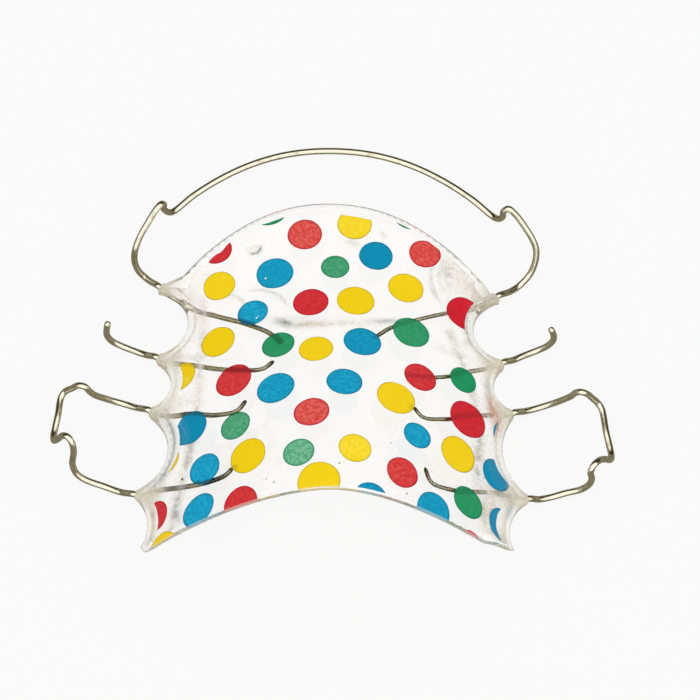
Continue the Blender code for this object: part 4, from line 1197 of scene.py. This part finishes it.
vertices, faces, shades = [], [], []
for x, y, radius, depth, whiteness in GRIT_AND_GLINTS:
    ball = bmesh.new()
    bmesh.ops.create_icosphere(ball, subdivisions=2, radius=1.0)
    ball.verts.ensure_lookup_table()
    spots = np.array([tuple(vertex.co) for vertex in ball.verts])
    spots = spots * (radius, radius, radius * GRAIN_FLATNESS)
    first = sum(len(part) for part in vertices)
    faces += [[first + vertex.index for vertex in face.verts] for face in ball.faces]
    ball.free()
    centre = np.array([[x, y]])
    level = palate_side(centre)[0] - depth * slant(palate_side, centre)[0]
    vertices.append(spots + (x, y, level))
    shades += [whiteness] * len(spots)
grit_and_glints = add_mesh("trapped_grit_and_painted_glints", np.concatenate(vertices), faces, grit_and_glint_finish, {"shade": shades})
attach(grit_and_glints, "root")


# Stage
# A plain pale floor under the retainer, soft light from above, and a white surround. Where metal and
# plastic mirror them, the surround is dark olive towards the front and the floor is dimmer.
WHITE = (1.0, 1.0, 1.0)
PAPER_WHITE = 0.955
FLOOR_GREY = (0.9, 0.9, 0.9)
FLOOR_HALF = 3000.0
FLOOR_LEVEL = -0.02
FLOOR_SHOWN = 0.92
THROUGH_WHITE = 1.06
MIRRORED_FLOOR = 0.18
OLIVE_SHADE = (1.0, 0.90, 0.52)


def add_lamp(name, location, size, power):
    lamp = bpy.data.lights.new(name, "AREA")
    lamp.size = size * MM
    lamp.energy = power
    item = bpy.data.objects.new(name, lamp)
    item.location = Vector(location) * MM
    item.rotation_mode = "QUATERNION"
    item.rotation_quaternion = (-Vector(location)).to_track_quat("-Z", "Y")
    item.visible_glossy = False
    bpy.context.collection.objects.link(item)


paper, start = new_finish("floor_paper")
ray = {name: start.node("LightPath", output=name)
       for name in ("Is Camera Ray", "Is Glossy Ray", "Is Transmission Ray")}
shown = start.node("Math", {"operation": "ADD", "use_clamp": True},
                   {0: ray["Is Camera Ray"] + ray["Is Glossy Ray"], 1: ray["Is Transmission Ray"]})
mirrored = ray["Is Glossy Ray"] - ray["Is Transmission Ray"]
level = (PAPER_WHITE + ray["Is Transmission Ray"] * (THROUGH_WHITE - PAPER_WHITE)
         + mirrored * (MIRRORED_FLOOR - PAPER_WHITE))
matt = start.node("BsdfDiffuse", {}, {"Color": FLOOR_GREY})
white = start.node("Emission", {}, {"Color": tinted(mirrored, WHITE, OLIVE_SHADE), "Strength": level})
mixed = start.node("MixShader", {}, {0: shown * FLOOR_SHOWN, 1: matt, 2: white})
start.node("OutputMaterial", {}, {"Surface": mixed})
corners = [(x * FLOOR_HALF, y * FLOOR_HALF, FLOOR_LEVEL) for x, y in ((-1, -1), (1, -1), (1, 1), (-1, 1))]
floor = add_mesh("floor", corners, [(0, 1, 2, 3)], paper)
floor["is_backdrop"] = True

SKY_LIGHT = 0.72
DARK_SIDE = 0.045
BRIGHT_SIDE = 1.25
THROUGH_DARK = 0.75

world = bpy.data.worlds.new("surround")
world.use_nodes = True
world.node_tree.nodes.clear()
bpy.context.scene.world = world
start = Link(world.node_tree)
direction = start.node("TexCoord", output="Generated")
fore = start.node("SeparateXYZ", {}, {0: direction}, "Y")
up = start.node("SeparateXYZ", {}, {0: direction}, "Z")
seen = start.node("LightPath", output="Is Camera Ray")
mirrored = start.node("LightPath", output="Is Glossy Ray")
# A ray that has gone through the acrylic counts as mirrored too
through = start.node("LightPath", output="Is Transmission Ray")
brightness = between(up * 0.5 - fore * 0.8, 0.0, 0.24)
level = (seen * PAPER_WHITE + (mirrored - through) * (DARK_SIDE + brightness * (BRIGHT_SIDE - DARK_SIDE))
         + through * (THROUGH_DARK + (1 - THROUGH_DARK) * brightness) + (1 - seen - mirrored) * SKY_LIGHT)
shade = tinted((mirrored - through) * (1 - brightness), WHITE, OLIVE_SHADE)
backdrop = start.node("Background", {}, {"Color": shade, "Strength": level})
start.node("OutputWorld", {}, {"Surface": backdrop})

add_lamp("overhead_softbox", (-120, -150, 750), 500, 2.2)
add_lamp("side_softbox", (700, 200, 500), 350, 0.8)


# Camera
# It looks down on the palate side from the rear of the mouth, tilted and framed as the photograph is,
# and from far enough away that the near and the far wires show at almost one scale.
TILT = 24
DISTANCE = 450
TARGET = (1.8, -1.2, 5.0)
SENSOR = 36.0
FIELD = 74.9
CLIP_START = 10
CLIP_END = 20000
camera_data = bpy.data.cameras.new("camera")
camera_data.sensor_width = SENSOR
camera_data.lens = SENSOR * DISTANCE / FIELD
camera_data.clip_start = CLIP_START * MM
camera_data.clip_end = CLIP_END * MM
camera = bpy.data.objects.new("camera", camera_data)
tilt = math.radians(TILT)
away = Vector((0, -math.sin(tilt), math.cos(tilt)))
camera.location = (Vector(TARGET) + away * DISTANCE) * MM
camera.rotation_euler = (tilt, 0, 0)
bpy.context.collection.objects.link(camera)
bpy.context.scene.camera = camera
bpy.context.scene.view_settings.view_transform = "Standard"


low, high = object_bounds()
